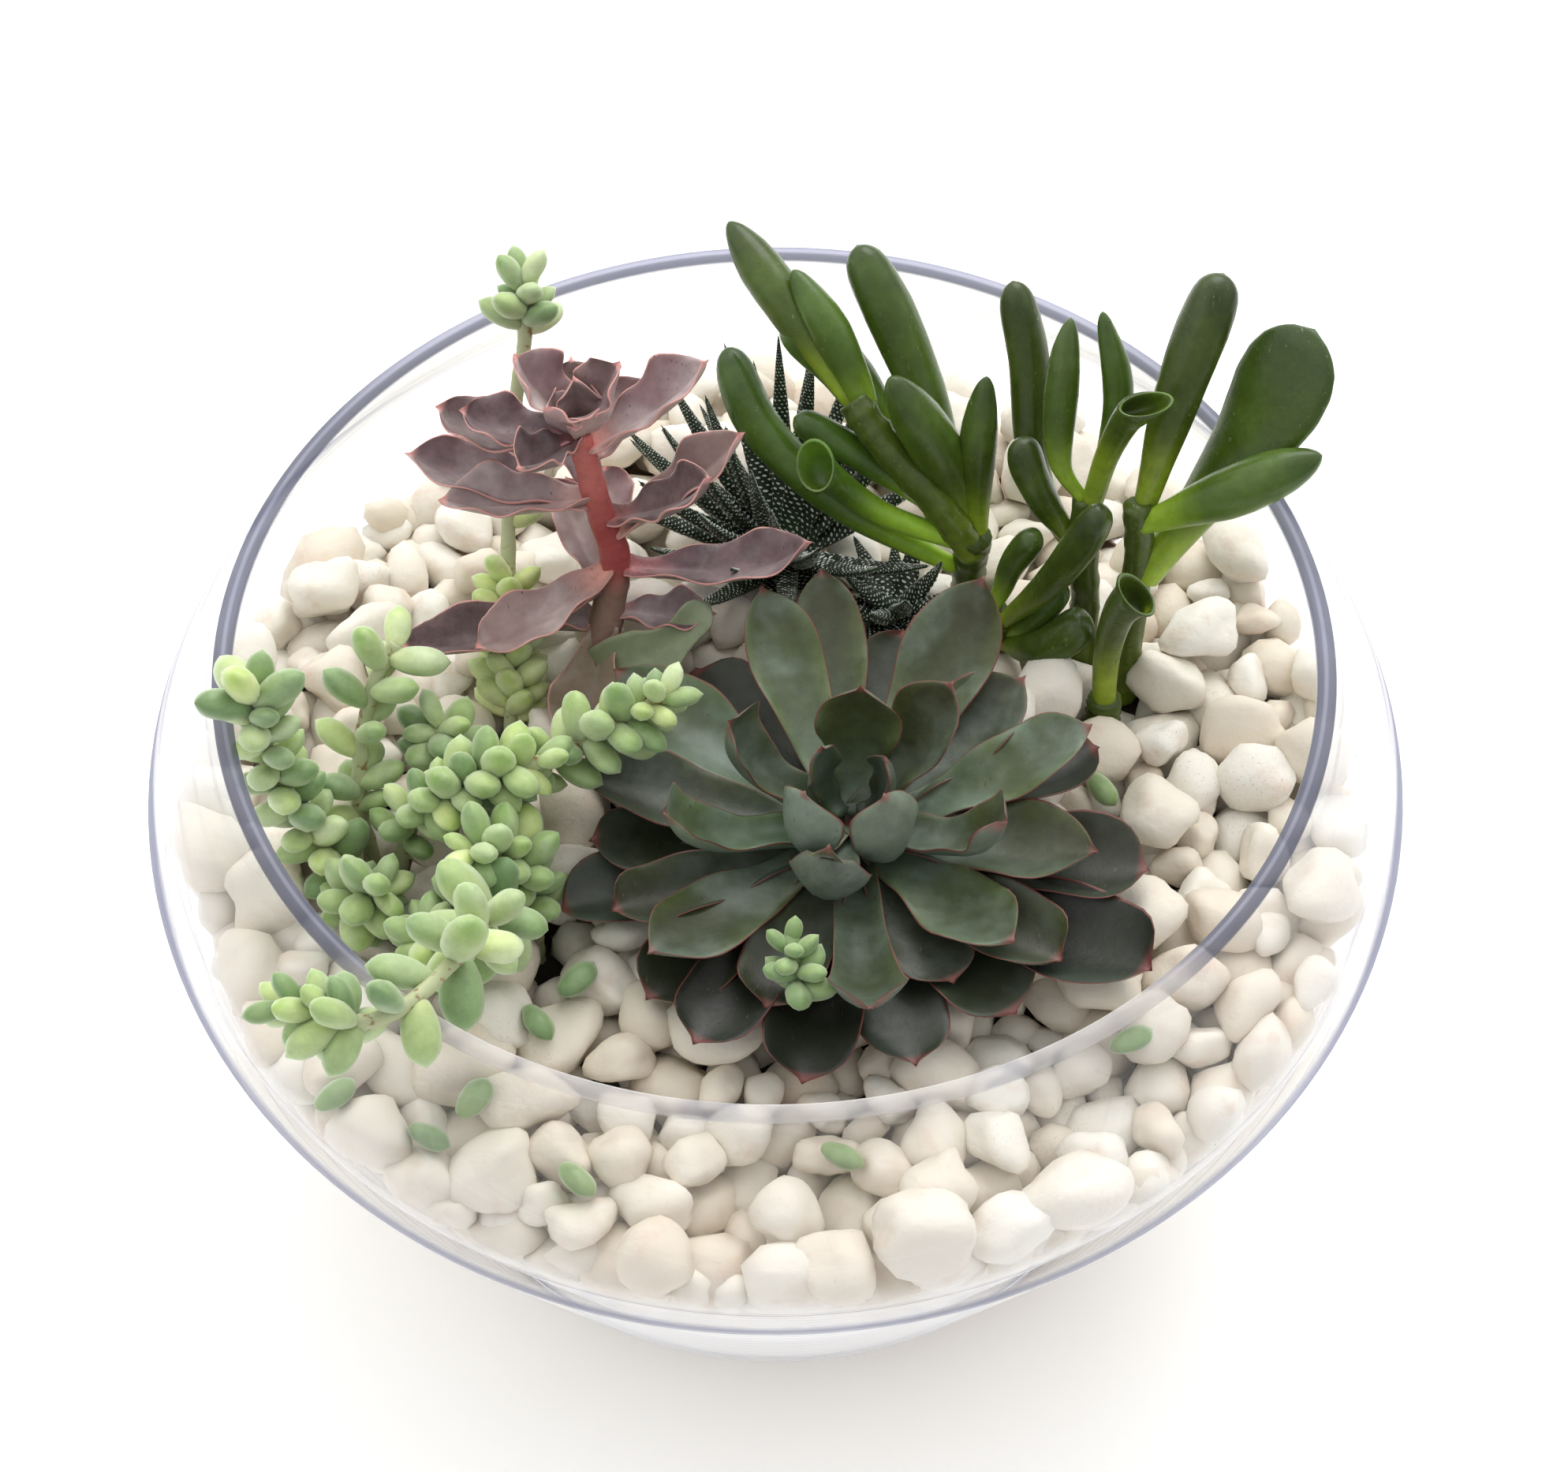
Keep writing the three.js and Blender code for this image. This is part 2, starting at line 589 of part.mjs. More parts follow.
// Top stones on a sunflower spiral, from the bare soil out to the glass, the front ones larger.
// Each is sunk until it is clear of the plants and the glass, or left out.
function topPebbles() {
  const spread = PEBBLE_SPACING / 1.905;
  const reach = 128;
  const stones = [];
  for (let i = 23; i < 85; i += 1) {
    const angle = i * GOLDEN_ANGLE;
    const distance = Math.min(spread * Math.sqrt(i), reach) + 2 * (draw(i) - 0.5);
    const [x, y] = [distance * Math.cos(angle), distance * Math.sin(angle)];
    const radius = PEBBLE_RADIUS * (0.82 + 0.3 * draw(i + 0.7) - (0.12 * y) / MOUTH_RADIUS);
    for (let sunk = 0; sunk < 0.9; sunk += 0.15) {
      const stone = pebble(i, x, y, BED_TOP + radius * (0.42 - sunk), radius);
      if (touches(stone, planted)) continue;
      stones.push(stone);
      break;
    }
  }
  return stones;
}

function pebbleBed() {
  const mass = fuse([pebbleMass(), ...topPebbles()]);
  return holes.reduce((rest, hole) => rest.subtract(hole), mass);
}

const bed = pebbleBed();
planted.push(bed);
addPiece("pebble_bed", bed, { color: 0xece4d8, roughness: 0.7 });

// Loose pieces that fell on top, each lowered until it lies on what is under it

function settle(make, from) {
  let height = from;
  while (touches(make(height), planted)) height -= 1;
  while (!touches(make(height - 1), planted)) height -= 1;
  while (!touches(make(height - GAP), planted)) height -= GAP;
  return make(height);
}

// Where each fallen leaf lies, how it is turned in degrees, and its length.
const FALLEN_LEAVES = [
  [-67, -97, 70, 13], [-76, -108, 20, 12], [-43, -117, 130, 13], [-97, -86, 40, 13], [78, -85, 10, 12],
  [14, -113, 160, 12], [-45, -62, 50, 14], [-52, -78, 110, 12], [76, -12, 80, 12],
];

FALLEN_LEAVES.forEach(([x, y, turn, length], index) => {
  const angle = THREE.MathUtils.degToRad(turn);
  const ahead = new THREE.Vector3(Math.cos(angle), Math.sin(angle), 0);
  const leaf = settle((z) => sedumLeaf(new THREE.Vector3(x, y, z), ahead, length), 140);
  planted.push(leaf);
  addPiece(`sedum_fallen_${index + 1}`, leaf, { color: 0x93b56a, roughness: 0.5 });
});

function sprig(z) {
  const points = [[2, -72, z - 3], [3, -68, z + 1], [1, -64, z + 4]];
  const line = new THREE.CatmullRomCurve3(points.map(vector));
  const leaves = [];
  for (let i = 0; i < 4; i += 1) {
    const angle = i * 2.4;
    const out = new THREE.Vector3(Math.cos(angle), Math.sin(angle), 0.25 + i * 0.12).normalize();
    const along = line.getPoint(0.25 + i * 0.09);
    leaves.push(sedumLeaf(along.addScaledVector(out, 4), out, 9));
  }
  return fuse([stem(points, 1.2, 2), ...leaves]);
}

const sprigBody = settle(sprig, 170);
addPiece("sedum_sprig", sprigBody, { color: 0xb2cf7e, roughness: 0.5 });

export default terrarium;
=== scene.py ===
import json
import math

import bmesh
import bpy
import numpy as np
from mathutils import Matrix, Vector, kdtree, noise

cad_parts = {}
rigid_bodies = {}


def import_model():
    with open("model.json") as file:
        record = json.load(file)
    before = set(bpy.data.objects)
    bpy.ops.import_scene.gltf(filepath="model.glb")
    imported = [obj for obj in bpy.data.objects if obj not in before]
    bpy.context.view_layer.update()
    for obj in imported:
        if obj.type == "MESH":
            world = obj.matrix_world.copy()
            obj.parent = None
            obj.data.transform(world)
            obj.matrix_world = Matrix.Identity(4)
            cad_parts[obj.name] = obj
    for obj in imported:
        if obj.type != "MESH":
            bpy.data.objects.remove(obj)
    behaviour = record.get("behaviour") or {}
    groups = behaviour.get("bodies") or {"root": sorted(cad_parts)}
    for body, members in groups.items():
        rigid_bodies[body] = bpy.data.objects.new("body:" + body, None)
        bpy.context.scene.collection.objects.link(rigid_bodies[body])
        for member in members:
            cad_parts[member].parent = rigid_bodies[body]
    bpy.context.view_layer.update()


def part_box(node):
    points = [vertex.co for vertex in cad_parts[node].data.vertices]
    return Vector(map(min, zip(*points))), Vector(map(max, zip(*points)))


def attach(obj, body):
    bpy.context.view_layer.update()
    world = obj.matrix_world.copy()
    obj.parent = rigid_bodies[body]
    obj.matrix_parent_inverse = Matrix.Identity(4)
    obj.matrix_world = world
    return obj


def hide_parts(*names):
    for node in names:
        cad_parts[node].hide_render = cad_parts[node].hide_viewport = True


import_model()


# Camera
# The photograph looks down on the bowl from in front, 52 degrees above the table, turned a
# little about the line of sight.

LOOK_DOWN = math.radians(52.0)
CAMERA_TURN = math.radians(-0.48)
AIM = Vector((0.0021, 0.0, 0.1329))
DISTANCE = 0.913
FOCAL_LENGTH = 90.54  # mm
SENSOR_WIDTH = 36.0  # mm

ahead = Vector((0.0, math.cos(LOOK_DOWN), -math.sin(LOOK_DOWN)))
level = Vector((1.0, 0.0, 0.0))
upward = level.cross(ahead)
right = level * math.cos(CAMERA_TURN) + upward * math.sin(CAMERA_TURN)
above = upward * math.cos(CAMERA_TURN) - level * math.sin(CAMERA_TURN)
lens = bpy.data.cameras.new("camera")
lens.lens = FOCAL_LENGTH
lens.sensor_width = SENSOR_WIDTH
lens.sensor_fit = "HORIZONTAL"
lens.clip_end = 20.0
camera = bpy.data.objects.new("camera", lens)
bpy.context.scene.collection.objects.link(camera)
camera.matrix_world = (
    Matrix.Translation(AIM - ahead * DISTANCE) @ Matrix((right, above, -ahead)).transposed().to_4x4()
)
bpy.context.scene.camera = camera


# Table top
# The bowl stands on a wide sheet of matt white paper, which lies flat on a table and is faintly
# lit from below.

def shape(name, places, faces, marks=None):
    """A piece made of these places and faces. Each mark gives every place a number of its own."""
    mesh = bpy.data.meshes.new(name)
    mesh.from_pydata([tuple(p) for p in places], [], faces)
    for mark, values in (marks or {}).items():
        layer = mesh.attributes.new(mark, "FLOAT", "POINT")
        layer.data.foreach_set("value", np.asarray(values, dtype=np.float32))
    mesh.polygons.foreach_set("use_smooth", [True] * len(mesh.polygons))
    mesh.update()
    piece = bpy.data.objects.new(name, mesh)
    bpy.context.scene.collection.objects.link(piece)
    return piece


def ink(red, green, blue):
    """A colour as it is seen on a screen, 0 to 255, turned into the light that it stands for."""
    return (*(((v / 255 + 0.055) / 1.055) ** 2.4 for v in (red, green, blue)), 1.0)


def new_finish(name):
    """A new material, with its nodes and its surface shader."""
    finish = bpy.data.materials.new(name)
    finish.use_nodes = True
    tree = finish.node_tree
    return finish, tree, tree.nodes["Principled BSDF"]


def fill(tree, node, sockets):
    """Set a node's sockets, each to a value or to what another node puts out."""
    for socket, value in sockets.items():
        if isinstance(value, bpy.types.NodeSocket):
            tree.links.new(value, node.inputs[socket])
        else:
            node.inputs[socket].default_value = value


def put(tree, kind, sockets=None, **options):
    """Add a node with its sockets and options."""
    node = tree.nodes.new("ShaderNode" + kind)
    for option, value in options.items():
        setattr(node, option, value)
    fill(tree, node, sockets or {})
    return node


def reckon(tree, operation, first, second=0.0):
    """One step of arithmetic on two values."""
    return put(tree, "Math", {0: first, 1: second}, operation=operation).outputs[0]


def rise(tree, value, low, high):
    """A soft step: 0 up to low, 1 from high on."""
    sockets = {"Value": value, "From Min": low, "From Max": high}
    return put(tree, "MapRange", sockets, interpolation_type="SMOOTHSTEP").outputs[0]


def tint(tree, share, first, second):
    """The first colour, turned into the second by a share of 0 to 1."""
    return put(tree, "Mix", {0: share, 6: first, 7: second}, data_type="RGBA").outputs[2]


def grain(tree, scale, detail=3.0, roughness=0.55):
    """A cloudy pattern, fixed to the piece, with scale clouds in a metre."""
    place = put(tree, "TexCoord").outputs["Object"]
    sockets = {"Vector": place, "Scale": scale, "Detail": detail, "Roughness": roughness}
    return put(tree, "TexNoise", sockets).outputs["Fac"]


TABLE_HALF = 6.0
PAPER_WHITE = (0.95, 0.947, 0.94, 1.0)
PAPER_SHADE = (0.935, 0.93, 0.922, 1.0)
PAPER_GLOW = (1.0, 0.99, 0.975, 1.0)
PAPER_GLOW_STRENGTH = 0.16

corners = [(TABLE_HALF * x, TABLE_HALF * y, 0.0) for x, y in ((-1, -1), (1, -1), (1, 1), (-1, 1))]
table = shape("table_paper", corners, [(0, 1, 2, 3)])
paper, tree, surface = new_finish("white_paper")
fill(tree, surface, {
    "Base Color": tint(tree, grain(tree, 60.0), PAPER_WHITE, PAPER_SHADE),
    "Roughness": 0.9,
    "Specular IOR Level": 0.1,
    "Emission Color": PAPER_GLOW,
    "Emission Strength": PAPER_GLOW_STRENGTH,
})
table.data.materials.append(paper)


# Studio light
# One wide soft light above and behind the bowl, a weak one from the front left, and a white room
# that darkens towards its lower front.

def soft_light(name, place, size, power):
    """A round lamp with a soft edge that looks at the bowl."""
    light = bpy.data.lights.new(name, "AREA")
    light.shape = "DISK"
    light.size = size
    light.energy = power
    lamp = bpy.data.objects.new(name, light)
    bpy.context.scene.collection.objects.link(lamp)
    lamp.location = place
    lamp.rotation_euler = (AIM - Vector(place)).to_track_quat("-Z", "Y").to_euler()


soft_light("back_light", place=(0.25, 1.1, 1.3), size=1.2, power=11.0)
soft_light("front_light", place=(-1.0, -0.8, 1.4), size=1.0, power=1.2)

ROOM_DARK = (0.32, 0.33, 0.37, 1.0)
ROOM_BRIGHT = (1.75, 1.74, 1.71, 1.0)
room = bpy.data.worlds.new("white_room")
bpy.context.scene.world = room
room.use_nodes = True
tree = room.node_tree
direction = put(tree, "SeparateXYZ", {0: put(tree, "TexCoord").outputs["Generated"]})
height = rise(tree, direction.outputs["Z"], -0.05, 0.6)
backward = rise(tree, direction.outputs["Y"], -0.8, 0.5)
backward = reckon(tree, "ADD", reckon(tree, "MULTIPLY", backward, 0.75), 0.25)
air = tint(tree, reckon(tree, "MULTIPLY", height, backward), ROOM_DARK, ROOM_BRIGHT)
fill(tree, tree.nodes["Background"], {"Color": air, "Strength": 1.0})

bpy.context.scene.view_settings.view_transform = "Standard"


# Glass bowl
# Blown clear glass about 4 mm thick: a flat foot, a wall that widens to a rounded belly and is
# then drawn in to the mouth, and a fire-polished lip.

FOOT_RADIUS = 0.090
FOOT_BEVEL = 0.002
FOOT_GLASS = 0.008
BELLY_HEIGHT = 0.121
BELLY_CORNER = 0.1498
BELLY_ROUNDING = 0.015
MOUTH_RADIUS = 0.125
BOWL_HEIGHT = 0.167
WALL = 0.0045
AROUND_BOWL = 160
BELLY_STEPS = 18
LIP_STEPS = 10
# Where the glass changes its look: soft steps in height or in distance from the axis, and painted lines of
# reflection.
FOOT_CLEARS = (FOOT_GLASS, FOOT_GLASS + 0.004)
BELLY_EDGE = (0.1428, 0.1436)
PAINTED_TABLE_LINE = 0.1085
RIPPLE_SPACING = 0.0085
LIP_HEIGHTS = (0.1646, 0.1656)
LIP_REACH = (0.1214, 0.1220)
LIP_PAINTED_STREAK = 0.1237


def lower_cone(z):
    """How far the outside of the glass is from the axis, below the belly."""
    return FOOT_RADIUS + (BELLY_CORNER - FOOT_RADIUS) * z / BELLY_HEIGHT


def upper_cone(z):
    """How far the outside of the glass is from the axis, above the belly."""
    lean = (BELLY_CORNER - MOUTH_RADIUS) / (BOWL_HEIGHT - BELLY_HEIGHT)
    return MOUTH_RADIUS + lean * (BOWL_HEIGHT - z)


def belly(inset):
    """The rounding between the two cones, as places of radius and height, inset from the outside."""
    low = BELLY_HEIGHT - BELLY_ROUNDING
    high = BELLY_HEIGHT + BELLY_ROUNDING
    radii = (lower_cone(low) - inset, BELLY_CORNER - inset, upper_cone(high) - inset)
    outline = []
    for i in range(BELLY_STEPS + 1):
        t = i / BELLY_STEPS
        weights = ((1 - t) ** 2, 2 * t * (1 - t), t * t)
        outline.append((
            sum(w * r for w, r in zip(weights, radii)),
            sum(w * h for w, h in zip(weights, (low, BELLY_HEIGHT, high))),
        ))
    return outline


def lip():
    """The round edge of the mouth, from outside to inside."""
    middle = BOWL_HEIGHT - WALL / 2
    centre = upper_cone(middle) - WALL / 2
    turns = [math.pi * i / LIP_STEPS for i in range(LIP_STEPS + 1)]
    return [(centre + WALL / 2 * math.cos(a), middle + WALL / 2 * math.sin(a)) for a in turns]


def turned(outline, around):
    """A closed body turned about the bowl's axis, from its outline, which starts and ends on it."""
    places = [(0.0, 0.0, outline[0][1])]
    for radius, height in outline[1:-1]:
        for k in range(around):
            turn = 2 * math.pi * k / around
            places.append((radius * math.cos(turn), radius * math.sin(turn), height))
    places.append((0.0, 0.0, outline[-1][1]))
    rows = len(outline) - 2
    faces = []
    for k in range(around):
        after = (k + 1) % around
        faces.append((0, 1 + after, 1 + k))
        last = 1 + (rows - 1) * around
        faces.append((last + k, last + after, len(places) - 1))
        for row in range(rows - 1):
            low = 1 + row * around
            faces.append((low + k, low + after, low + around + after, low + around + k))
    return places, faces


def part(piece, finish, node):
    """Give a piece its material, let it ride on the bowl and put it in the place of its solid."""
    piece.data.materials.append(finish)
    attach(piece, "root")
    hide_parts(node)


side_heights = (0.03, 0.06, 0.09)
neck = 0.15
outline = [(0.0, 0.0), (FOOT_RADIUS - FOOT_BEVEL, 0.0), (lower_cone(FOOT_BEVEL) - 0.0006, FOOT_BEVEL * 0.3)]
outline += [(lower_cone(z), z) for z in (FOOT_BEVEL, *side_heights)]
outline += belly(0.0) + [(upper_cone(neck), neck)] + lip() + [(upper_cone(neck) - WALL, neck)]
outline += belly(WALL)[::-1] + [(lower_cone(z) - WALL, z) for z in (*side_heights[::-1], FOOT_GLASS + 0.004)]
inside_foot = FOOT_RADIUS - 2 * WALL
outline += [(inside_foot + 0.003, FOOT_GLASS + 0.001), (inside_foot - 0.002, FOOT_GLASS), (0.0, FOOT_GLASS)]
bowl = shape("glass_bowl_clear", *turned(outline, AROUND_BOWL))

glass, tree, surface = new_finish("clear_glass")
fill(tree, surface, {
    "Base Color": (0.985, 0.99, 0.995, 1.0),
    "Roughness": rise(tree, grain(tree, 9.0, 4.0), 0.3, 4.0),
    "Transmission Weight": 1.0,
    "IOR": 1.47,
})
facing = put(tree, "LayerWeight", {"Blend": 0.5}).outputs["Facing"]
around = put(tree, "TexCoord").outputs["Object"]
spot = put(tree, "SeparateXYZ", {0: around})
away = put(tree, "VectorMath", {0: around, 1: (1.0, 1.0, 0.0)}, operation="MULTIPLY")
away = put(tree, "VectorMath", {0: away.outputs[0]}, operation="LENGTH").outputs["Value"]
# The outline of the belly is painted as one thin dark line: a painted reflection of the dark room at the
# glass's edge.
from_belly = reckon(tree, "ABSOLUTE", reckon(tree, "SUBTRACT", spot.outputs["Z"], BELLY_HEIGHT))
painted_edge_line = reckon(tree, "MULTIPLY", rise(tree, facing, 0.64, 0.78), rise(tree, from_belly, 0.014, 0.010))
painted_edge_line = reckon(tree, "MULTIPLY", painted_edge_line, rise(tree, away, *BELLY_EDGE))
clear = tint(tree, painted_edge_line, (0.99, 0.99, 1.0, 1.0), ink(186, 188, 206))
grazed = put(tree, "BsdfTransparent", {"Color": clear})
thin_share = reckon(tree, "MULTIPLY", rise(tree, spot.outputs["Z"], *FOOT_CLEARS), 0.93)
wall = put(tree, "MixShader", {0: thin_share, 1: surface.outputs[0], 2: grazed.outputs[0]})
# Seen along the lower wall, the reflections of the table lie over each other as thin lines. They are painted
# reflections: pale and lilac lines on a white diffuse skin laid over the glass.
painted_ripple = reckon(tree, "FRACT", reckon(tree, "DIVIDE", spot.outputs["Z"], RIPPLE_SPACING))
painted_ripple = rise(tree, reckon(tree, "ABSOLUTE", reckon(tree, "SUBTRACT", painted_ripple, 0.5)), 0.36, 0.5)
painted_table_line = reckon(tree, "ABSOLUTE", reckon(tree, "SUBTRACT", spot.outputs["Z"], PAINTED_TABLE_LINE))
painted_table_line = rise(tree, painted_table_line, 0.0013, 0.0004)
painted_ripple = reckon(tree, "MAXIMUM", reckon(tree, "MULTIPLY", painted_ripple, 0.55), painted_table_line)
painted_ripple = reckon(tree, "MAXIMUM", painted_ripple, painted_edge_line)
painted_sheen = put(tree, "BsdfDiffuse", {"Color": tint(tree, painted_ripple, (1.0, 1.0, 1.0, 1.0), ink(184, 186, 200))})
# A white diffuse skin, stronger where the glass is seen aslant, is a painted reflection that whitens the
# stones seen through it towards the belly.
below_belly = rise(tree, spot.outputs["Z"], 0.114, 0.102)
painted_sheen_share = reckon(tree, "MULTIPLY", rise(tree, facing, 0.68, 0.80), below_belly)
painted_veil = reckon(tree, "MULTIPLY", rise(tree, facing, 0.45, 0.95), 0.55)
painted_sheen_share = reckon(tree, "MAXIMUM", reckon(tree, "MULTIPLY", painted_sheen_share, 0.6), painted_veil)
painted_sheen_share = reckon(tree, "MAXIMUM", painted_sheen_share, reckon(tree, "MULTIPLY", painted_table_line, 0.4))
wall = put(tree, "MixShader", {0: painted_sheen_share, 1: wall.outputs[0], 2: painted_sheen.outputs[0]})
# The lip's colours are painted reflections: in front it is pale and patchy, and behind it is painted as the
# room's dark reflection, a dark band with a lighter painted streak.
lip_back = rise(tree, spot.outputs["Y"], -0.102, -0.080)
patch = rise(tree, grain(tree, 55.0, 2.0), 0.50, 0.60)
lip_front = tint(tree, patch, ink(224, 220, 218), ink(190, 189, 195))
painted_streak = reckon(tree, "ABSOLUTE", reckon(tree, "SUBTRACT", away, LIP_PAINTED_STREAK))
lip_side = tint(tree, rise(tree, painted_streak, 0.0007, 0.0002), ink(116, 118, 134), ink(146, 148, 166))
lip_far = tint(tree, rise(tree, away, 0.1228, 0.1236), ink(130, 132, 150), ink(178, 179, 197))
lip_painted_dark_band = tint(tree, rise(tree, spot.outputs["Y"], 0.060, 0.105), lip_side, lip_far)
lip_painted_reflection = tint(tree, lip_back, lip_front, lip_painted_dark_band)
lip_body = put(tree, "BsdfDiffuse", {"Color": lip_painted_reflection})
lip_glow = put(tree, "BsdfTransparent", {"Color": lip_painted_reflection})
lip_skin = put(tree, "MixShader", {0: 0.4, 1: lip_body.outputs[0], 2: lip_glow.outputs[0]})
lip_share = reckon(tree, "ADD", reckon(tree, "MULTIPLY", lip_back, 0.22), 0.72)
lip_share = reckon(tree, "MULTIPLY", lip_share, rise(tree, spot.outputs["Z"], *LIP_HEIGHTS))
lip_share = reckon(tree, "MULTIPLY", lip_share, rise(tree, away, *LIP_REACH))
lipped = put(tree, "MixShader", {0: lip_share, 1: wall.outputs[0], 2: lip_skin.outputs[0]})
# Light falls through the glass onto the stones and the plants.
rays = put(tree, "LightPath")
passing = put(tree, "BsdfTransparent", {"Color": (0.97, 0.975, 0.98, 1.0)})
soft = reckon(tree, "MAXIMUM", rays.outputs["Is Shadow Ray"], rays.outputs["Is Diffuse Ray"])
mixed = put(tree, "MixShader", {0: soft, 1: lipped.outputs[0], 2: passing.outputs[0]})
tree.links.new(mixed.outputs[0], tree.nodes["Material Output"].inputs["Surface"])
part(bowl, glass, "glass_bowl")


# Big grey-green rosette
# An echeveria: fleshy spoon-shaped leaves in spirals round a short stem, with red margins and pointed tips.
# The old leaves lie low round it and are nearly black, deepened with painted shade; the small leaves and the
# stem in its heart are also painted dark, as shade.

MM = 0.001
UP = Vector((0.0, 0.0, 1.0))
ROSETTE_HEART = Vector((17.0, -27.0, 138.0)) * MM
# Each leaf: turn about the heart in degrees, reach and rise of its tip in mm, and width. The leaves
# of the heart also say how far out their backs bulge.
ROSETTE_LEAVES = [
    (-104, 21, 16, 19, 36), (-132, 16, 24, 18, 23), (-58, 15, 23, 18, 25), (82, 19, 25, 20, 15),
    (20, 9, 17, 11, 11), (140, 9, 18, 11, 11),
    (40, 31, 23, 19), (164, 34, 20, 18), (-25, 42, 12, 18), (197, 48, 11, 17),
    (-47, 52, 2, 21), (221, 60, 0, 21), (-87, 62, 0, 20), (14, 57, 13, 19), (109, 62, 10, 18),
    (95, 67, 6, 18), (59, 64, 16, 23), (172, 62, 3, 20), (143, 68, 0, 21), (39, 53, 6, 21),
    (-14, 57, 2, 22), (-40, 60, -5, 21), (-63, 48, -6, 19), (-112, 52, -7, 20), (-11, 68, -7, 24),
    (-32, 77, -11, 27), (-54, 60, -11, 23), (-78, 63, -12, 21), (-100, 66, -12, 22), (-122, 66, -11, 21),
    (205, 59, -4, 17), (184, 59, -7, 18), (196, 68, -12, 20), (126, 60, -9, 19), (76, 56, -5, 19),
    (22, 62, -8, 21), (-137, 62, -13, 21), (157, 66, -11, 20),
]
CURLED_LEAVES = (164, -25, 197, -87)  # the turns of the leaves whose sides are rolled up
ROSETTE_THICK = 3.4 * MM
ROSETTE_REACH = 70.0  # mm
ROSETTE_DROP = 9.0  # mm from the heart down to the feet of leaves that reach as far as that
LEAF_STEPS = 34
LEAF_AROUND = 20
WART_HEIGHT = 0.00045
ASLANT = Vector((0.31, 0.22, 0.93))  # a way that no stem grows in


def draw(number):
    """A seeded draw of 0 to 1, the same each time for the same number."""
    wave = math.sin(number * 12.9898 + 4.1) * 43758.5453
    return wave - math.floor(wave)


def bowed(start, middle, end, steps):
    """Places on the arc from start to end that leans towards middle, closer together at the tip."""
    line = []
    for i in range(steps + 1):
        t = 1 - (1 - i / steps) ** 1.4
        line.append((1 - t) ** 2 * start + 2 * t * (1 - t) * middle + t * t * end)
    return line


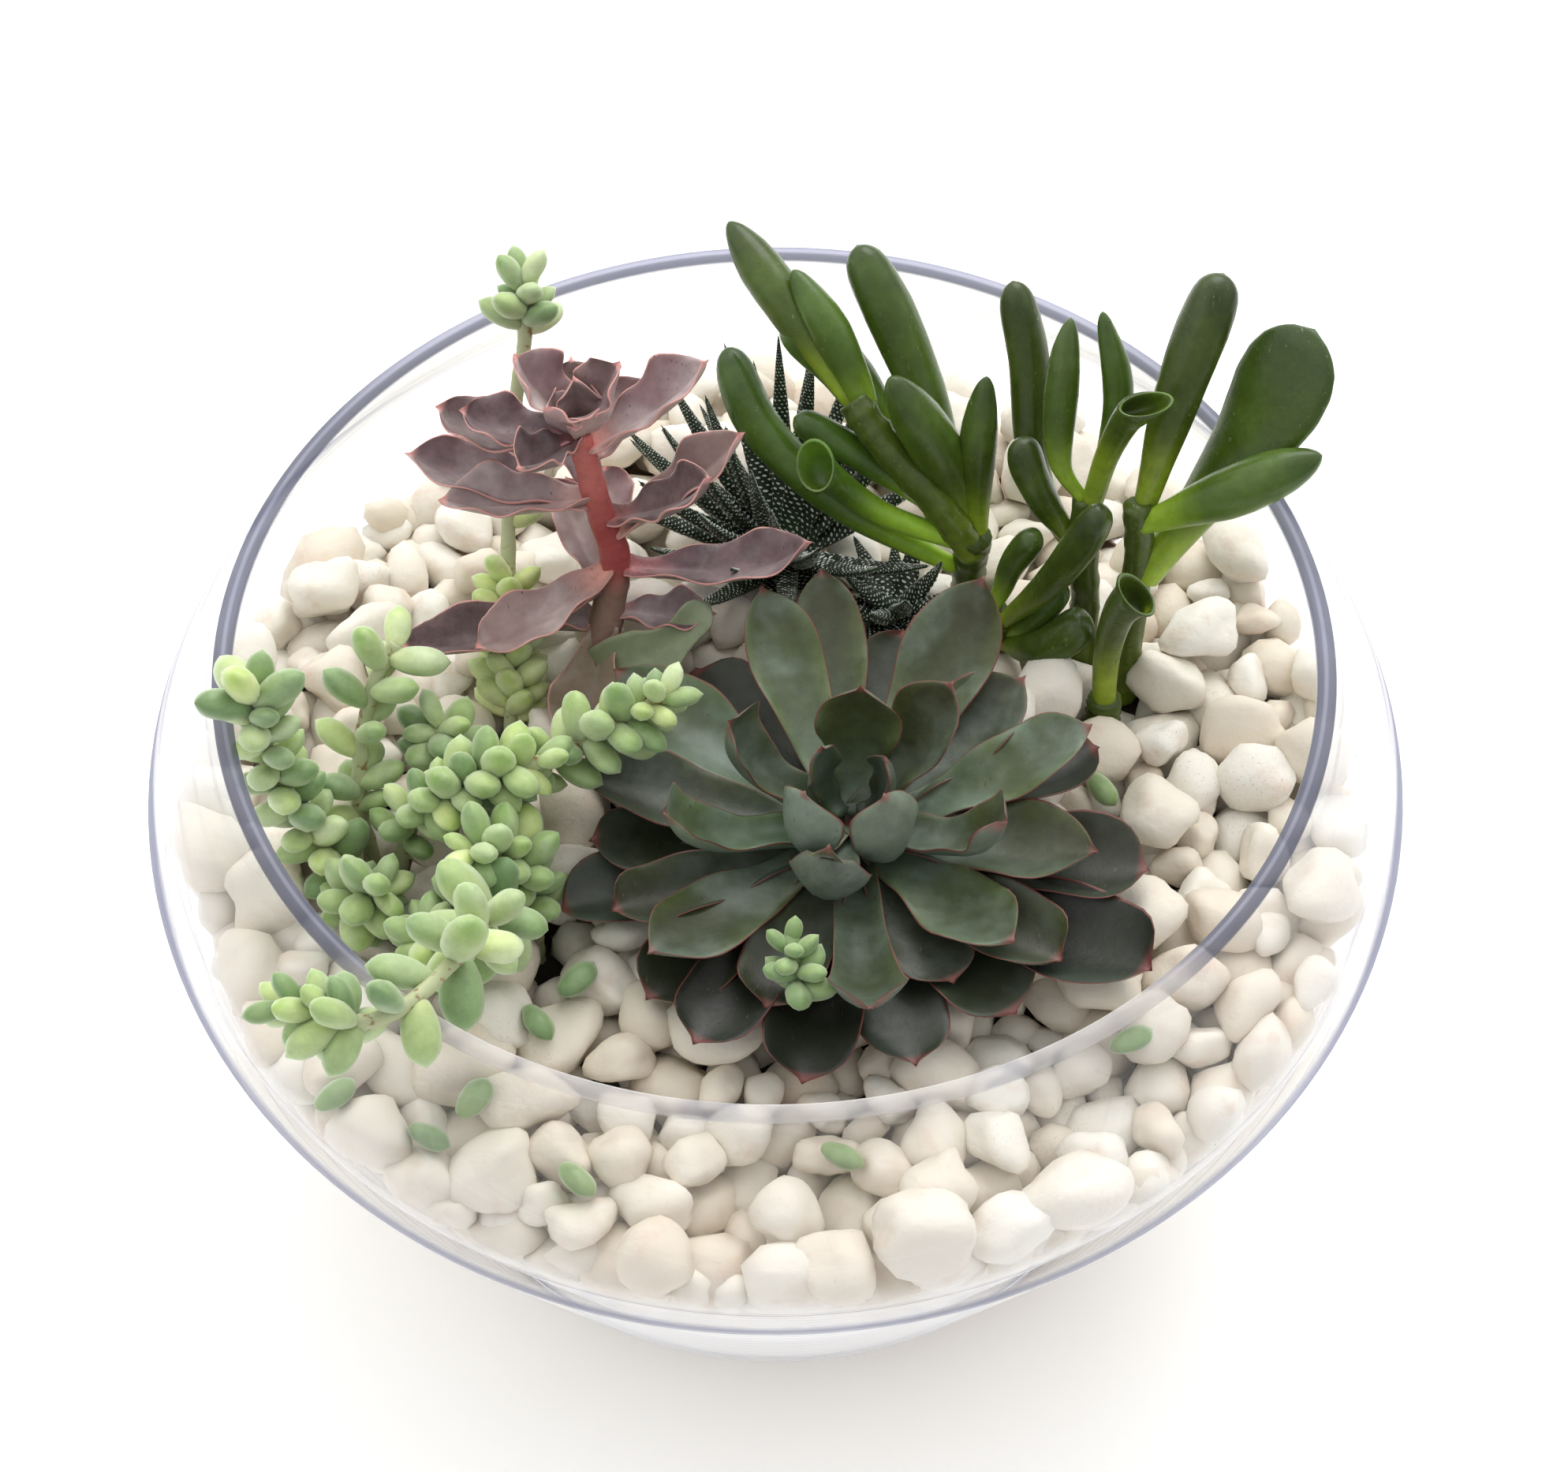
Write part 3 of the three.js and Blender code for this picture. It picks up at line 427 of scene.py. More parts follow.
class Growth:
    """The skins of one plant, gathered into a single mesh.

    A leaf is a line from its foot to its tip, with flattened rings of skin drawn round it, closed at
    both ends. Each place on it is marked with how far along, how near the margin and how old it is.
    """

    def __init__(self):
        self.places = []
        self.faces = []
        self.marks = {"along": [], "margin": [], "upper": [], "age": [], "lot": [], "spot": []}

    def mark(self, **values):
        """Mark the place that was added last."""
        for name, store in self.marks.items():
            store.append(values.get(name, 0.0))

    def skin(self, first, rings, around):
        """Faces over the rings that follow the place called first, drawn to a point at both ends."""
        last = first + 1 + rings * around
        for row in range(rings - 1):
            low = first + 1 + row * around
            for k in range(around):
                after = (k + 1) % around
                self.faces.append((low + k, low + after, low + around + after, low + around + k))
        for k in range(around):
            after = (k + 1) % around
            self.faces.append((first, first + 1 + after, first + 1 + k))
            self.faces.append((last - around + k, last - around + after, last))

    def leaf(self, line, width, thick, outline, face=UP, around=14, dish=0.0, fold=0.0,
             wave=0.0, curl=0.0, age=0.0, lot=0.5, body=None, knobs=None, point=0.0002, brim=1.0):
        """A leaf with its upper side towards face.

        Outline and body give its width and thickness along it. Dish and fold raise its margins, wave
        makes them wavy, curl lifts its tip, point draws it out, and knobs raises warts on its skin.
        Age, lot and brim go into its marks, for its colours.
        """
        steps = len(line) - 1
        lengths = [0.0]
        for i in range(steps):
            lengths.append(lengths[-1] + (line[i + 1] - line[i]).length)
        first = len(self.places)
        self.places.append(line[0])
        self.mark(along=0.0, age=age, lot=lot)
        for i in range(1, steps):
            t = lengths[i] / lengths[-1]
            way = (line[i + 1] - line[i - 1]).normalized()
            normal = (face - way * face.dot(way)).normalized()
            side = way.cross(normal)
            half = width / 2 * outline(t)
            deep = thick / 2 * (body(t) if body else outline(t))
            lift = curl * lengths[-1] * max(0.0, t - 0.6) ** 2
            for k in range(around):
                turn = 2 * math.pi * k / around
                c, s = math.cos(turn), math.sin(turn)
                across = abs(c)
                out = s * deep * (1 - 0.15 * across)
                out += half * (dish * across ** 2 + fold * across) + lift
                out += wave * across ** 3 * math.sin(17 * t + 9 * lot + (1.5 if c > 0 else 0.0))
                spot = 0.0
                if knobs:
                    spot = knobs(t, i, k)
                    out += math.copysign(spot * WART_HEIGHT, s)
                self.places.append(line[i] + side * (c * half) + normal * out)
                self.mark(along=t, margin=across * brim, upper=s, age=age, lot=lot, spot=spot)
        way = (line[-1] - line[-2]).normalized()
        normal = (face - way * face.dot(way)).normalized()
        self.places.append(line[-1] + way * point + normal * (curl * lengths[-1] * 0.16))
        self.mark(along=1.0, margin=brim, age=age, lot=lot)
        self.skin(first, steps - 1, around)

    def stem(self, line, radius, around=12, age=0.0, lot=0.5, knots=0.0):
        """A round stem, with knots where leaves have fallen off."""
        steps = len(line) - 1
        first = len(self.places)
        self.places.append(line[0])
        self.mark(age=age, lot=lot)
        for i in range(steps + 1):
            t = i / steps
            way = (line[min(i + 1, steps)] - line[max(i - 1, 0)]).normalized()
            across = way.cross(ASLANT).normalized()
            other = way.cross(across)
            reach = radius(t) if callable(radius) else radius
            reach *= 1 + knots * (0.5 + 0.5 * math.sin(t * steps * 1.1)) ** 3
            for k in range(around):
                turn = 2 * math.pi * k / around
                bump = 1 + 0.06 * noise.noise(Vector((math.cos(turn), math.sin(turn), t * 30 + lot * 9)))
                self.places.append(
                    line[i] + (across * math.cos(turn) + other * math.sin(turn)) * reach * bump
                )
                self.mark(along=t, age=age, lot=lot, spot=t)
        self.places.append(line[-1])
        self.mark(along=1.0, age=age, lot=lot)
        self.skin(first, steps + 1, around)

    def piece(self, name, finish, slot, node):
        """Make what has grown into a piece of the part."""
        part(shape(name, self.places, self.faces, self.marks), finish, node)


def through_widths(*stops):
    """How wide or thick a leaf is along its length, through stops of length and share of its width."""
    lengths, widths = zip(*stops)
    return lambda t: float(np.interp(t, lengths, widths))


def effect(name, inputs, outputs):
    """A shared shader effect with named inputs and outputs."""
    group = bpy.data.node_groups.new(name, "ShaderNodeTree")
    for label, value in inputs.items():
        kind = "NodeSocketFloat" if isinstance(value, float) else "NodeSocketColor"
        group.interface.new_socket(label, in_out="INPUT", socket_type=kind).default_value = value
    for label, kind in outputs.items():
        group.interface.new_socket(label, in_out="OUTPUT", socket_type=kind)
    return group, group.nodes.new("NodeGroupInput").outputs, group.nodes.new("NodeGroupOutput").inputs


def marked(tree, name):
    """The number that each place on a leaf or stone was marked with."""
    return put(tree, "Attribute", attribute_name=name).outputs["Fac"]


# The colour of a fleshy leaf: paler at its foot, darker in old leaves, with a coloured margin.
leaf_colour, given, result = effect(
    "leaf_colour",
    {
        "Foot": (0.3, 0.3, 0.2, 1.0), "Blade": (0.1, 0.2, 0.1, 1.0), "Tip": (0.1, 0.2, 0.1, 1.0),
        "Old": (0.05, 0.08, 0.05, 1.0), "Under": (0.1, 0.1, 0.1, 1.0), "Under share": 0.5,
        "Margin": (0.4, 0.1, 0.1, 1.0), "Margin start": 0.95, "Mottle": 0.2, "Foot end": 0.5,
        "Red tip": 1.0, "Bloom": 0.0, "Bloom colour": (0.5, 0.55, 0.5, 1.0),
        "Side": (0.1, 0.1, 0.05, 1.0), "Side share": 0.0, "Hue spread": 0.02,
    },
    {"Colour": "NodeSocketColor"},
)
tree = leaf_colour
foot_end = rise(tree, marked(tree, "along"), 0.0, given["Foot end"])
colour = tint(tree, foot_end, given["Foot"], given["Blade"])
colour = tint(tree, rise(tree, marked(tree, "along"), 0.65, 1.0), colour, given["Tip"])
side = reckon(tree, "MULTIPLY", rise(tree, marked(tree, "margin"), 0.45, 0.98), given["Side share"])
colour = tint(tree, side, colour, given["Side"])
bloom = reckon(tree, "MULTIPLY", rise(tree, grain(tree, 45.0, 3.0), 0.42, 0.68), given["Bloom"])
colour = tint(tree, bloom, colour, given["Bloom colour"])
colour = tint(tree, marked(tree, "age"), colour, given["Old"])
below = reckon(tree, "MULTIPLY", rise(tree, marked(tree, "upper"), 0.1, -0.3), given["Under share"])
colour = tint(tree, below, colour, given["Under"])
cloud = reckon(tree, "MULTIPLY", grain(tree, 260.0, 5.0, 0.65), 1.2)
cloud = reckon(tree, "ADD", cloud, marked(tree, "lot"))
cloud = reckon(tree, "SUBTRACT", cloud, 1.1)
light_share = reckon(tree, "ADD", reckon(tree, "MULTIPLY", cloud, given["Mottle"]), 1.0)
hue_turn = reckon(tree, "MULTIPLY", reckon(tree, "SUBTRACT", marked(tree, "lot"), 0.5), given["Hue spread"])
shaded = put(tree, "HueSaturation", {
    "Hue": reckon(tree, "ADD", hue_turn, 0.5), "Value": light_share, "Color": colour,
})
edge_start = reckon(tree, "ADD", given["Margin start"], reckon(tree, "MULTIPLY", grain(tree, 140.0), 0.02))
edge = rise(tree, marked(tree, "margin"), edge_start, reckon(tree, "ADD", edge_start, 0.05))
red_tip = reckon(tree, "MULTIPLY", rise(tree, marked(tree, "along"), 0.955, 0.995), given["Red tip"])
edged = reckon(tree, "MAXIMUM", edge, red_tip)
tree.links.new(tint(tree, edged, shaded.outputs[0], given["Margin"]), result["Colour"])

# Scratches, dark specks and the fine skin that such leaves carry.
leaf_skin, given, result = effect(
    "leaf_skin",
    {"Colour": (0.1, 0.1, 0.1, 1.0), "Scar": (0.02, 0.015, 0.01, 1.0), "Speck size": 900.0, "Scars": 0.6},
    {"Colour": "NodeSocketColor", "Height": "NodeSocketFloat", "Worn": "NodeSocketFloat"},
)
tree = leaf_skin
place = put(tree, "TexCoord").outputs["Object"]
stretched = put(tree, "Mapping", {"Vector": place, "Scale": (1.0, 0.35, 0.6), "Rotation": (0.4, 0.3, 0.7)})
speck = put(tree, "TexNoise", {"Vector": stretched.outputs[0], "Scale": given["Speck size"], "Detail": 2.0})
patch = rise(tree, grain(tree, 75.0, 2.0), 0.45, 0.62)
scars = reckon(tree, "MULTIPLY", rise(tree, speck.outputs["Fac"], 0.66, 0.72), patch)
scars = reckon(tree, "MULTIPLY", scars, given["Scars"])
tree.links.new(tint(tree, scars, given["Colour"], given["Scar"]), result["Colour"])
skin = reckon(tree, "ADD", reckon(tree, "MULTIPLY", grain(tree, 500.0, 4.0), 0.6),
              reckon(tree, "MULTIPLY", grain(tree, 2600.0, 2.0), 0.25))
tree.links.new(reckon(tree, "SUBTRACT", skin, scars), result["Height"])
tree.links.new(scars, result["Worn"])

POWDER_SHEEN_COLOUR = (0.5, 0.55, 0.5, 1.0)


def leaf_finish(name, colours, skin, gloss, flesh=0.0, coat=0.0, bump=0.25, powder_sheen=0.0, shine=0.4):
    """A leaf's material: its colours, scars, gloss, how far light enters it, and its pale powder, which is
    also painted paler where the leaf is seen aslant, as a painted sheen.
    """
    finish, tree, surface = new_finish(name)
    hue = put(tree, "Group", node_tree=leaf_colour)
    fill(tree, hue, colours)
    worn = put(tree, "Group", node_tree=leaf_skin)
    fill(tree, worn, {"Colour": hue.outputs["Colour"], **skin})
    relief = put(tree, "Bump", {"Strength": bump, "Distance": 0.0004, "Height": worn.outputs["Height"]})
    rough = reckon(tree, "ADD", reckon(tree, "MULTIPLY", grain(tree, 320.0), 0.2), gloss - 0.1)
    # The pale powder is real, but its paling where the leaf is seen aslant is a painted sheen.
    slant = rise(tree, put(tree, "LayerWeight", {"Blend": 0.5}).outputs["Facing"], 0.25, 0.95)
    powder_sheen_share = reckon(tree, "MULTIPLY", slant, powder_sheen)
    fill(tree, surface, {
        "Base Color": tint(tree, powder_sheen_share, worn.outputs["Colour"], colours.get("Bloom colour", POWDER_SHEEN_COLOUR)),
        "Roughness": rough,
        "Specular IOR Level": shine,
        "Normal": relief.outputs[0],
        "Coat Weight": coat,
        "Coat Roughness": 0.2,
        "Subsurface Weight": flesh,
        "Subsurface Radius": (0.8, 1.0, 0.25),
        "Subsurface Scale": 0.004,
    })
    return finish


spoon_outline = through_widths(
    (0, 0.40), (0.12, 0.42), (0.25, 0.49), (0.4, 0.63), (0.52, 0.81), (0.62, 0.95), (0.7, 1.0), (0.78, 0.96),
    (0.85, 0.84), (0.9, 0.68), (0.94, 0.47), (0.965, 0.29), (0.98, 0.16), (0.99, 0.09), (1, 0.04),
)
blunt_outline = through_widths(
    (0, 0.44), (0.12, 0.45), (0.25, 0.52), (0.4, 0.66), (0.55, 0.84), (0.68, 0.97), (0.76, 1.0), (0.84, 0.98),
    (0.89, 0.91), (0.93, 0.78), (0.96, 0.58), (0.98, 0.34), (0.99, 0.17), (1, 0.05),
)
trough_outline = through_widths(
    (0, 0.50), (0.12, 0.52), (0.3, 0.58), (0.5, 0.66), (0.65, 0.74), (0.78, 0.90), (0.86, 1.0), (0.91, 0.99),
    (0.95, 0.84), (0.975, 0.58), (0.99, 0.28), (1, 0.06),
)
spoon_body = through_widths((0, 0.7), (0.3, 1.0), (0.7, 0.85), (0.9, 0.6), (0.97, 0.4), (1, 0.1))

rosette = Growth()
for order, (turn, reach, rise_mm, width, *bulge) in enumerate(ROSETTE_LEAVES):
    angle = math.radians(turn)
    out = Vector((math.cos(angle), math.sin(angle), 0.0))
    low = -ROSETTE_DROP * reach / ROSETTE_REACH

    def place_on(distance, height):
        return ROSETTE_HEART + out * distance * MM + UP * height * MM

    line = bowed(
        place_on(1.5, low),
        place_on(bulge[0], low) if bulge else place_on(reach * 0.55 + 4, low + (rise_mm - low) * 0.4 - 1),
        place_on(reach, rise_mm),
        LEAF_STEPS,
    )
    curled = turn in CURLED_LEAVES
    # Leaves that lie low are darker the lower they lie: old leaves, with painted shade under the rosette. The
    # small leaves of the heart are darkened as painted shade.
    age_and_painted_shade = min(1.0, max(0.0, (5 - rise_mm) / 15)) * (0.75 + 0.25 * draw(order + 0.3))
    rosette.leaf(
        line, width * MM * (0.9 if curled else 1.0), ROSETTE_THICK,
        trough_outline if curled else blunt_outline if rise_mm < 0 else spoon_outline,
        UP - out * 0.7, LEAF_AROUND, dish=0.85 if curled else 0.30 + 0.25 * draw(order + 0.2),
        curl=(0.0 if bulge else 0.2) + (0.9 if curled else 0.5 * draw(order) ** 2),
        wave=0.0009, body=spoon_body, point=0.8 * MM,
        age=0.6 if reach < 12 else age_and_painted_shade, lot=draw(order + 0.6),
    )
heart_line = [Vector((17, -27, z)) * MM for z in range(101, 137, 3)]
# The stem in the heart takes the nearly black old-leaf colour as painted shade.
rosette.stem(heart_line, 5 * MM, age=1.0)
rosette_finish = leaf_finish(
    "echeveria_green",
    {
        "Foot": ink(90, 108, 88), "Blade": ink(62, 72, 40), "Tip": ink(62, 66, 36), "Old": ink(29, 33, 23),
        "Under": ink(116, 126, 112), "Under share": 0.6, "Margin": ink(122, 62, 58), "Margin start": 0.935,
        "Mottle": 0.85, "Foot end": 0.7, "Bloom": 0.6, "Bloom colour": ink(120, 136, 124),
        "Side": ink(92, 106, 58), "Side share": 0.55, "Hue spread": 0.05, "Red tip": 0.75,
    },
    {"Speck size": 1100.0, "Scars": 0.8, "Scar": ink(74, 66, 52)},
    gloss=0.4, powder_sheen=0.25,
)
rosette.piece("echeveria_rosette_leaves", rosette_finish, "rosette_leaf", "echeveria_rosette")


# Purple echeveria
# Its crown has grown up on a bare pink stem. The leaves are folded along their midrib, with wavy
# pale margins, and a small folded green leaf leans on the foot of the stem.

PURPLE_STEM = [
    (-45, 22, 114), (-42, 26, 128), (-39, 33, 140), (-37, 38, 152), (-40, 42, 164), (-43, 46, 178),
]
PURPLE_HEART = (-44, 48, 185)
# Each leaf: where it leaves the stem, where its tip is, and its width, in mm.
PURPLE_LEAVES = [
    ((-43, 46, 181), (-78, 60, 177), 15), ((-44, 46, 184), (-72, 51, 186), 14),
    ((-40, 42, 166), (-86, 58, 165), 15), ((-40, 43, 168), (-77, 43, 166), 15),
    ((-37, 37, 151), (-69, 15, 145), 15), ((-38, 35, 146), (-88, 25, 131), 14),
    (PURPLE_HEART, (-60, 55, 202), 15), (PURPLE_HEART, (-34, 53, 202), 14),
    ((-44, 47, 184), (-58, 34, 186), 13), ((-43, 46, 180), (-13, 56, 198), 14),
    ((-38, 40, 158), (-6, 49, 182), 14), ((-39, 41, 162), (-12, 38, 177), 14),
    ((-37, 37, 150), (11, 34, 156), 14), ((-39, 33, 139), (-14, 31, 139), 12),
    ((-40, 31, 136), (-56, 39, 129), 13), ((-39, 32, 138), (-47, 7, 120), 16),
    (PURPLE_HEART, (-46, 63, 193), 13), ((-43, 46, 176), (-28, 66, 182), 13),
    ((-40, 43, 166), (-52, 72, 168), 13), ((-38, 39, 156), (-40, 66, 150), 13),
    ((-44, 48, 184), (-45, 52, 199), 10), ((-39, 34, 142), (-50, 70, 141), 12),
    (PURPLE_HEART, (-52, 44, 196), 11), (PURPLE_HEART, (-37, 45, 195), 11),
    (PURPLE_HEART, (-45, 42, 192), 10),
]
FOLDED_LEAF = [(-44, 23, 124), (-36, 22, 130), (-26, 25, 134), (-15, 31, 144)]


def through(points, steps, crowd=1.0):
    """Places on a smooth line through points in millimetres. A crowd above 1 draws them to its end."""
    stops = [Vector(point) * MM for point in points]
    stops = [2 * stops[0] - stops[1]] + stops + [2 * stops[-1] - stops[-2]]
    spans = len(stops) - 3
    line = []
    for i in range(steps + 1):
        share = 1 - (1 - i / steps) ** crowd
        k = min(int(spans * share), spans - 1)
        t = spans * share - k
        a, b, c, d = stops[k:k + 4]
        ab, bc, cd = math.sqrt((b - a).length), math.sqrt((c - b).length), math.sqrt((d - c).length)
        leave = ((b - a) / ab - (c - a) / (ab + bc) + (c - b) / bc) * bc
        meet = ((c - b) / bc - (d - b) / (bc + cd) + (d - c) / cd) * bc
        line.append(
            (2 * t ** 3 - 3 * t ** 2 + 1) * b + (t ** 3 - 2 * t ** 2 + t) * leave
            + (3 * t ** 2 - 2 * t ** 3) * c + (t ** 3 - t ** 2) * meet
        )
    return line


petal_outline = through_widths(
    (0, 0.40), (0.12, 0.42), (0.28, 0.56), (0.45, 0.80), (0.6, 0.97), (0.7, 1.0), (0.79, 0.93), (0.87, 0.75),
    (0.93, 0.50), (0.965, 0.28), (0.985, 0.13), (1, 0.04),
)
folded_outline = through_widths(
    (0, 0.40), (0.06, 0.66), (0.15, 0.88), (0.3, 1.0), (0.46, 0.92), (0.6, 0.70), (0.7, 0.54), (0.78, 0.50),
    (0.86, 0.54), (0.92, 0.52), (0.96, 0.42), (0.985, 0.26), (1, 0.08),
)
folded_body = through_widths((0, 0.7), (0.3, 1.0), (0.7, 0.8), (0.92, 0.7), (0.98, 0.45), (1, 0.1))
purple = Growth()
for order, (foot, tip, width) in enumerate(PURPLE_LEAVES):
    start, end = Vector(foot) * MM, Vector(tip) * MM
    middle = start.lerp(end, 0.55)
    middle.z -= (end - start).length * 0.16
    out = end - start
    out.z = 0.0
    purple.leaf(
        bowed(start, middle, end, LEAF_STEPS), width * 1.06 * MM, 3.2 * MM, petal_outline,
        UP - out.normalized() * 0.5, LEAF_AROUND, dish=0.1, fold=0.52 + 0.36 * draw(order + 43),
        wave=0.0013, curl=0.1 + 0.7 * draw(order + 40),
        age=1.0 if tip[2] < 125 else 0.4 * draw(order + 41), lot=draw(order + 42),
        body=spoon_body, point=1.0 * MM,
    )
purple_stem = Growth()
stem_points = [(-45, 22, 101)] + PURPLE_STEM + [PURPLE_HEART]
purple_stem.stem(through(stem_points, 60), lambda t: (4.8 - 2.2 * t) * MM, knots=0.08)
green_folded = Growth()
green_folded.leaf(
    through(FOLDED_LEAF, LEAF_STEPS), 16 * MM, 5 * MM, folded_outline, Vector((0.1, -0.5, 0.85)), LEAF_AROUND,
    fold=0.2, dish=0.5, body=folded_body, lot=0.4,
)
purple_finish = leaf_finish(
    "echeveria_purple",
    {
        "Foot": ink(204, 130, 124), "Blade": ink(124, 100, 104), "Tip": ink(112, 86, 90),
        "Old": ink(116, 100, 88),
        "Under": ink(166, 136, 134), "Under share": 0.8, "Margin": ink(216, 156, 148), "Margin start": 0.915,
        "Mottle": 1.0, "Foot end": 0.36, "Bloom": 0.6, "Bloom colour": ink(186, 176, 174),
        "Side": ink(112, 78, 82), "Side share": 0.55, "Hue spread": 0.03,
    },
    {"Speck size": 1500.0, "Scars": 0.7},
    gloss=0.44, powder_sheen=0.2,
)
stem_finish, tree, surface = new_finish("pink_stem")
climb = put(tree, "SeparateXYZ", {0: put(tree, "TexCoord").outputs["Object"]}).outputs["Z"]
bark = tint(tree, rise(tree, climb, 0.144, 0.154), ink(136, 108, 96), ink(158, 64, 64))
bark = tint(tree, rise(tree, climb, 0.160, 0.176), bark, ink(194, 104, 98))
scurf = reckon(tree, "MULTIPLY", rise(tree, grain(tree, 300.0, 4.0), 0.5, 0.7), 0.4)
bark = tint(tree, scurf, bark, ink(140, 84, 76))
relief = put(tree, "Bump", {"Strength": 0.5, "Distance": 0.0006, "Height": grain(tree, 600.0, 5.0)})
fill(tree, surface, {"Base Color": bark, "Roughness": 0.5, "Normal": relief.outputs[0]})
folded_finish = leaf_finish(
    "folded_green",
    {
        "Foot": ink(132, 140, 108), "Blade": ink(134, 144, 112), "Tip": ink(140, 150, 122),
        "Old": ink(62, 72, 50),
        "Under": ink(122, 130, 106), "Under share": 0.5, "Margin": ink(146, 96, 84), "Margin start": 0.95,
        "Mottle": 0.5, "Foot end": 0.5, "Red tip": 0.0,
    },
    {"Speck size": 1100.0, "Scars": 0.5, "Scar": (0.09, 0.045, 0.03, 1)},
    gloss=0.5,
)
purple.piece("echeveria_purple_leaves", purple_finish, "purple_leaf", "echeveria_purple")
purple_stem.piece("echeveria_purple_stem", stem_finish, "purple_leaf", "echeveria_purple")
green_folded.piece("echeveria_folded_leaf", folded_finish, "purple_leaf", "echeveria_purple")


# Finger jade
# A crassula with glossy round leaves. Some end in a hollow trumpet mouth with a pale rim, and one is a flat
# paddle. They are yellow-green and let some light into their flesh; the pale yellow where they leave the stem
# is partly their own colour and partly painted light shining through.

# Each plant: its stems, their radius in mm, how light it is, and its leaves. A leaf is its line, its
# thickness and its kind. A trumpet also has the way that its mouth faces and how round that is.
JADES = {
    "jade_back": {
        "stems": [
            ((47, 55, 104), (47, 55, 114), (47, 53, 132), (48, 51, 144)),
            ((48, 51, 138), (39, 54, 152), (26, 63, 164), (19, 70, 171)),
        ],
        "radius": 4.0,
        "light": 0.45,
        "leaves": [
            (((20, 70, 168), (4, 88, 184), (-10, 108, 192)), 13, "tapered"),
            (((26, 65, 162), (15, 79, 182), (5, 92, 192)), 11, "tapered"),
            (((34, 62, 154), (17, 79, 172), (3, 87, 182)), 15),
            (((46, 50, 142), (34, 78, 172), (20, 98, 194)), 14),
            (((49, 51, 134), (42, 60, 156), (27, 65, 184)), 16, "tapered"),
            (((46, 52, 130), (17, 59, 146), (-3, 74, 158), (-11, 90, 168)), 12),
            (((49, 51, 138), (48, 60, 162), (50, 69, 180)), 10, "tapered"),
            (((47, 52, 140), (26, 53, 150), (14, 55, 160), (10, 53, 167)), 11,
             "trumpet", (-0.5, -0.8, 0.3), 0.95),
            (((41, 56, 146), (19, 66, 158), (5, 69, 166)), 10),
        ],
    },
    "jade_right_inner": {
        "stems": [((74, 38, 104), (74, 38, 114), (74, 41, 132), (73, 42, 148), (73, 47, 162))],
        "radius": 3.4,
        "leaves": [
            (((72, 43, 144), (62, 56, 160), (60, 75, 180), (56, 86, 194)), 11),
            (((73, 46, 161), (67, 50, 170), (67, 62, 186), (69, 72, 196)), 9, "tapered"),
            (((74, 47, 160), (80, 60, 182), (76, 72, 198)), 8, "tapered"),
            (((74, 46, 159), (77, 46, 178), (81, 45, 192), (84, 42, 199)), 11,
             "trumpet", (-0.9, -0.3, 0.3), 0.5),
            (((73, 43, 146), (62, 49, 162), (57, 55, 174)), 10),
        ],
    },
    "jade_right_outer": {
        "stems": [((84, 34, 104), (84, 34, 114), (85, 35, 140), (85, 38, 158), (84, 39, 168))],
        "radius": 3.4,
        "leaves": [
            (((85, 39, 163), (93, 54, 190), (103, 72, 210)), 14),
            (((85, 35, 144), (102, 44, 168), (113, 50, 185), (123, 59, 205)), 11, "paddle"),
            (((84, 38, 162), (104, 34, 178), (124, 34, 190)), 15, "tapered"),
        ],
    },
    "jade_right_front": {
        "stems": [((53, 41, 104), (53, 41, 114), (53, 37, 126), (52, 35, 134))],
        "radius": 4.0,
        "leaves": [
            (((53, 35, 130), (64, 31, 150), (76, 31, 176)), 11),
            (((52, 37, 133), (56, 40, 146), (61, 38, 159)), 9),
            (((53, 37, 126), (60, 34, 132), (68, 39, 142)), 10),
            (((53, 37, 122), (64, 27, 132), (74, 28, 141)), 12),
        ],
    },
    "jade_tube_leaf": {
        "stems": [((78, 18, 104), (78, 18, 114), (78, 19, 122))],
        "radius": 4.0,
        "leaves": [
            (((78, 18, 116), (78, 22, 134), (80, 22, 150), (83, 19, 160)), 12,
             "trumpet", (0.9, -0.4, 0.3), 0.62),
        ],
    },
}

finger_outline = through_widths(
    (0, 0.36), (0.08, 0.40), (0.2, 0.52), (0.35, 0.68), (0.5, 0.8), (0.65, 0.88), (0.78, 0.91), (0.87, 0.87),
    (0.92, 0.80), (0.955, 0.68), (0.977, 0.52), (0.99, 0.35), (0.997, 0.19), (1, 0.06),
)
tapered_outline = through_widths(
    (0, 0.36), (0.08, 0.40), (0.2, 0.53), (0.35, 0.72), (0.5, 0.86), (0.62, 0.91), (0.74, 0.86), (0.84, 0.72),
    (0.91, 0.55), (0.955, 0.40), (0.98, 0.26), (0.993, 0.15), (1, 0.05),
)
paddle_outline = through_widths(
    (0, 0.3), (0.2, 0.34), (0.35, 0.46), (0.5, 0.68), (0.65, 0.9), (0.77, 1.0), (0.86, 0.96), (0.92, 0.82),
    (0.96, 0.6), (0.985, 0.35), (1, 0),
)
paddle_body = through_widths((0, 0.8), (0.4, 1.0), (0.8, 0.75), (0.95, 0.5), (1, 0.1))
trumpet_outline = through_widths((0, 0.45), (0.3, 0.54), (0.6, 0.68), (0.85, 0.82), (0.95, 0.98), (1, 1.04))

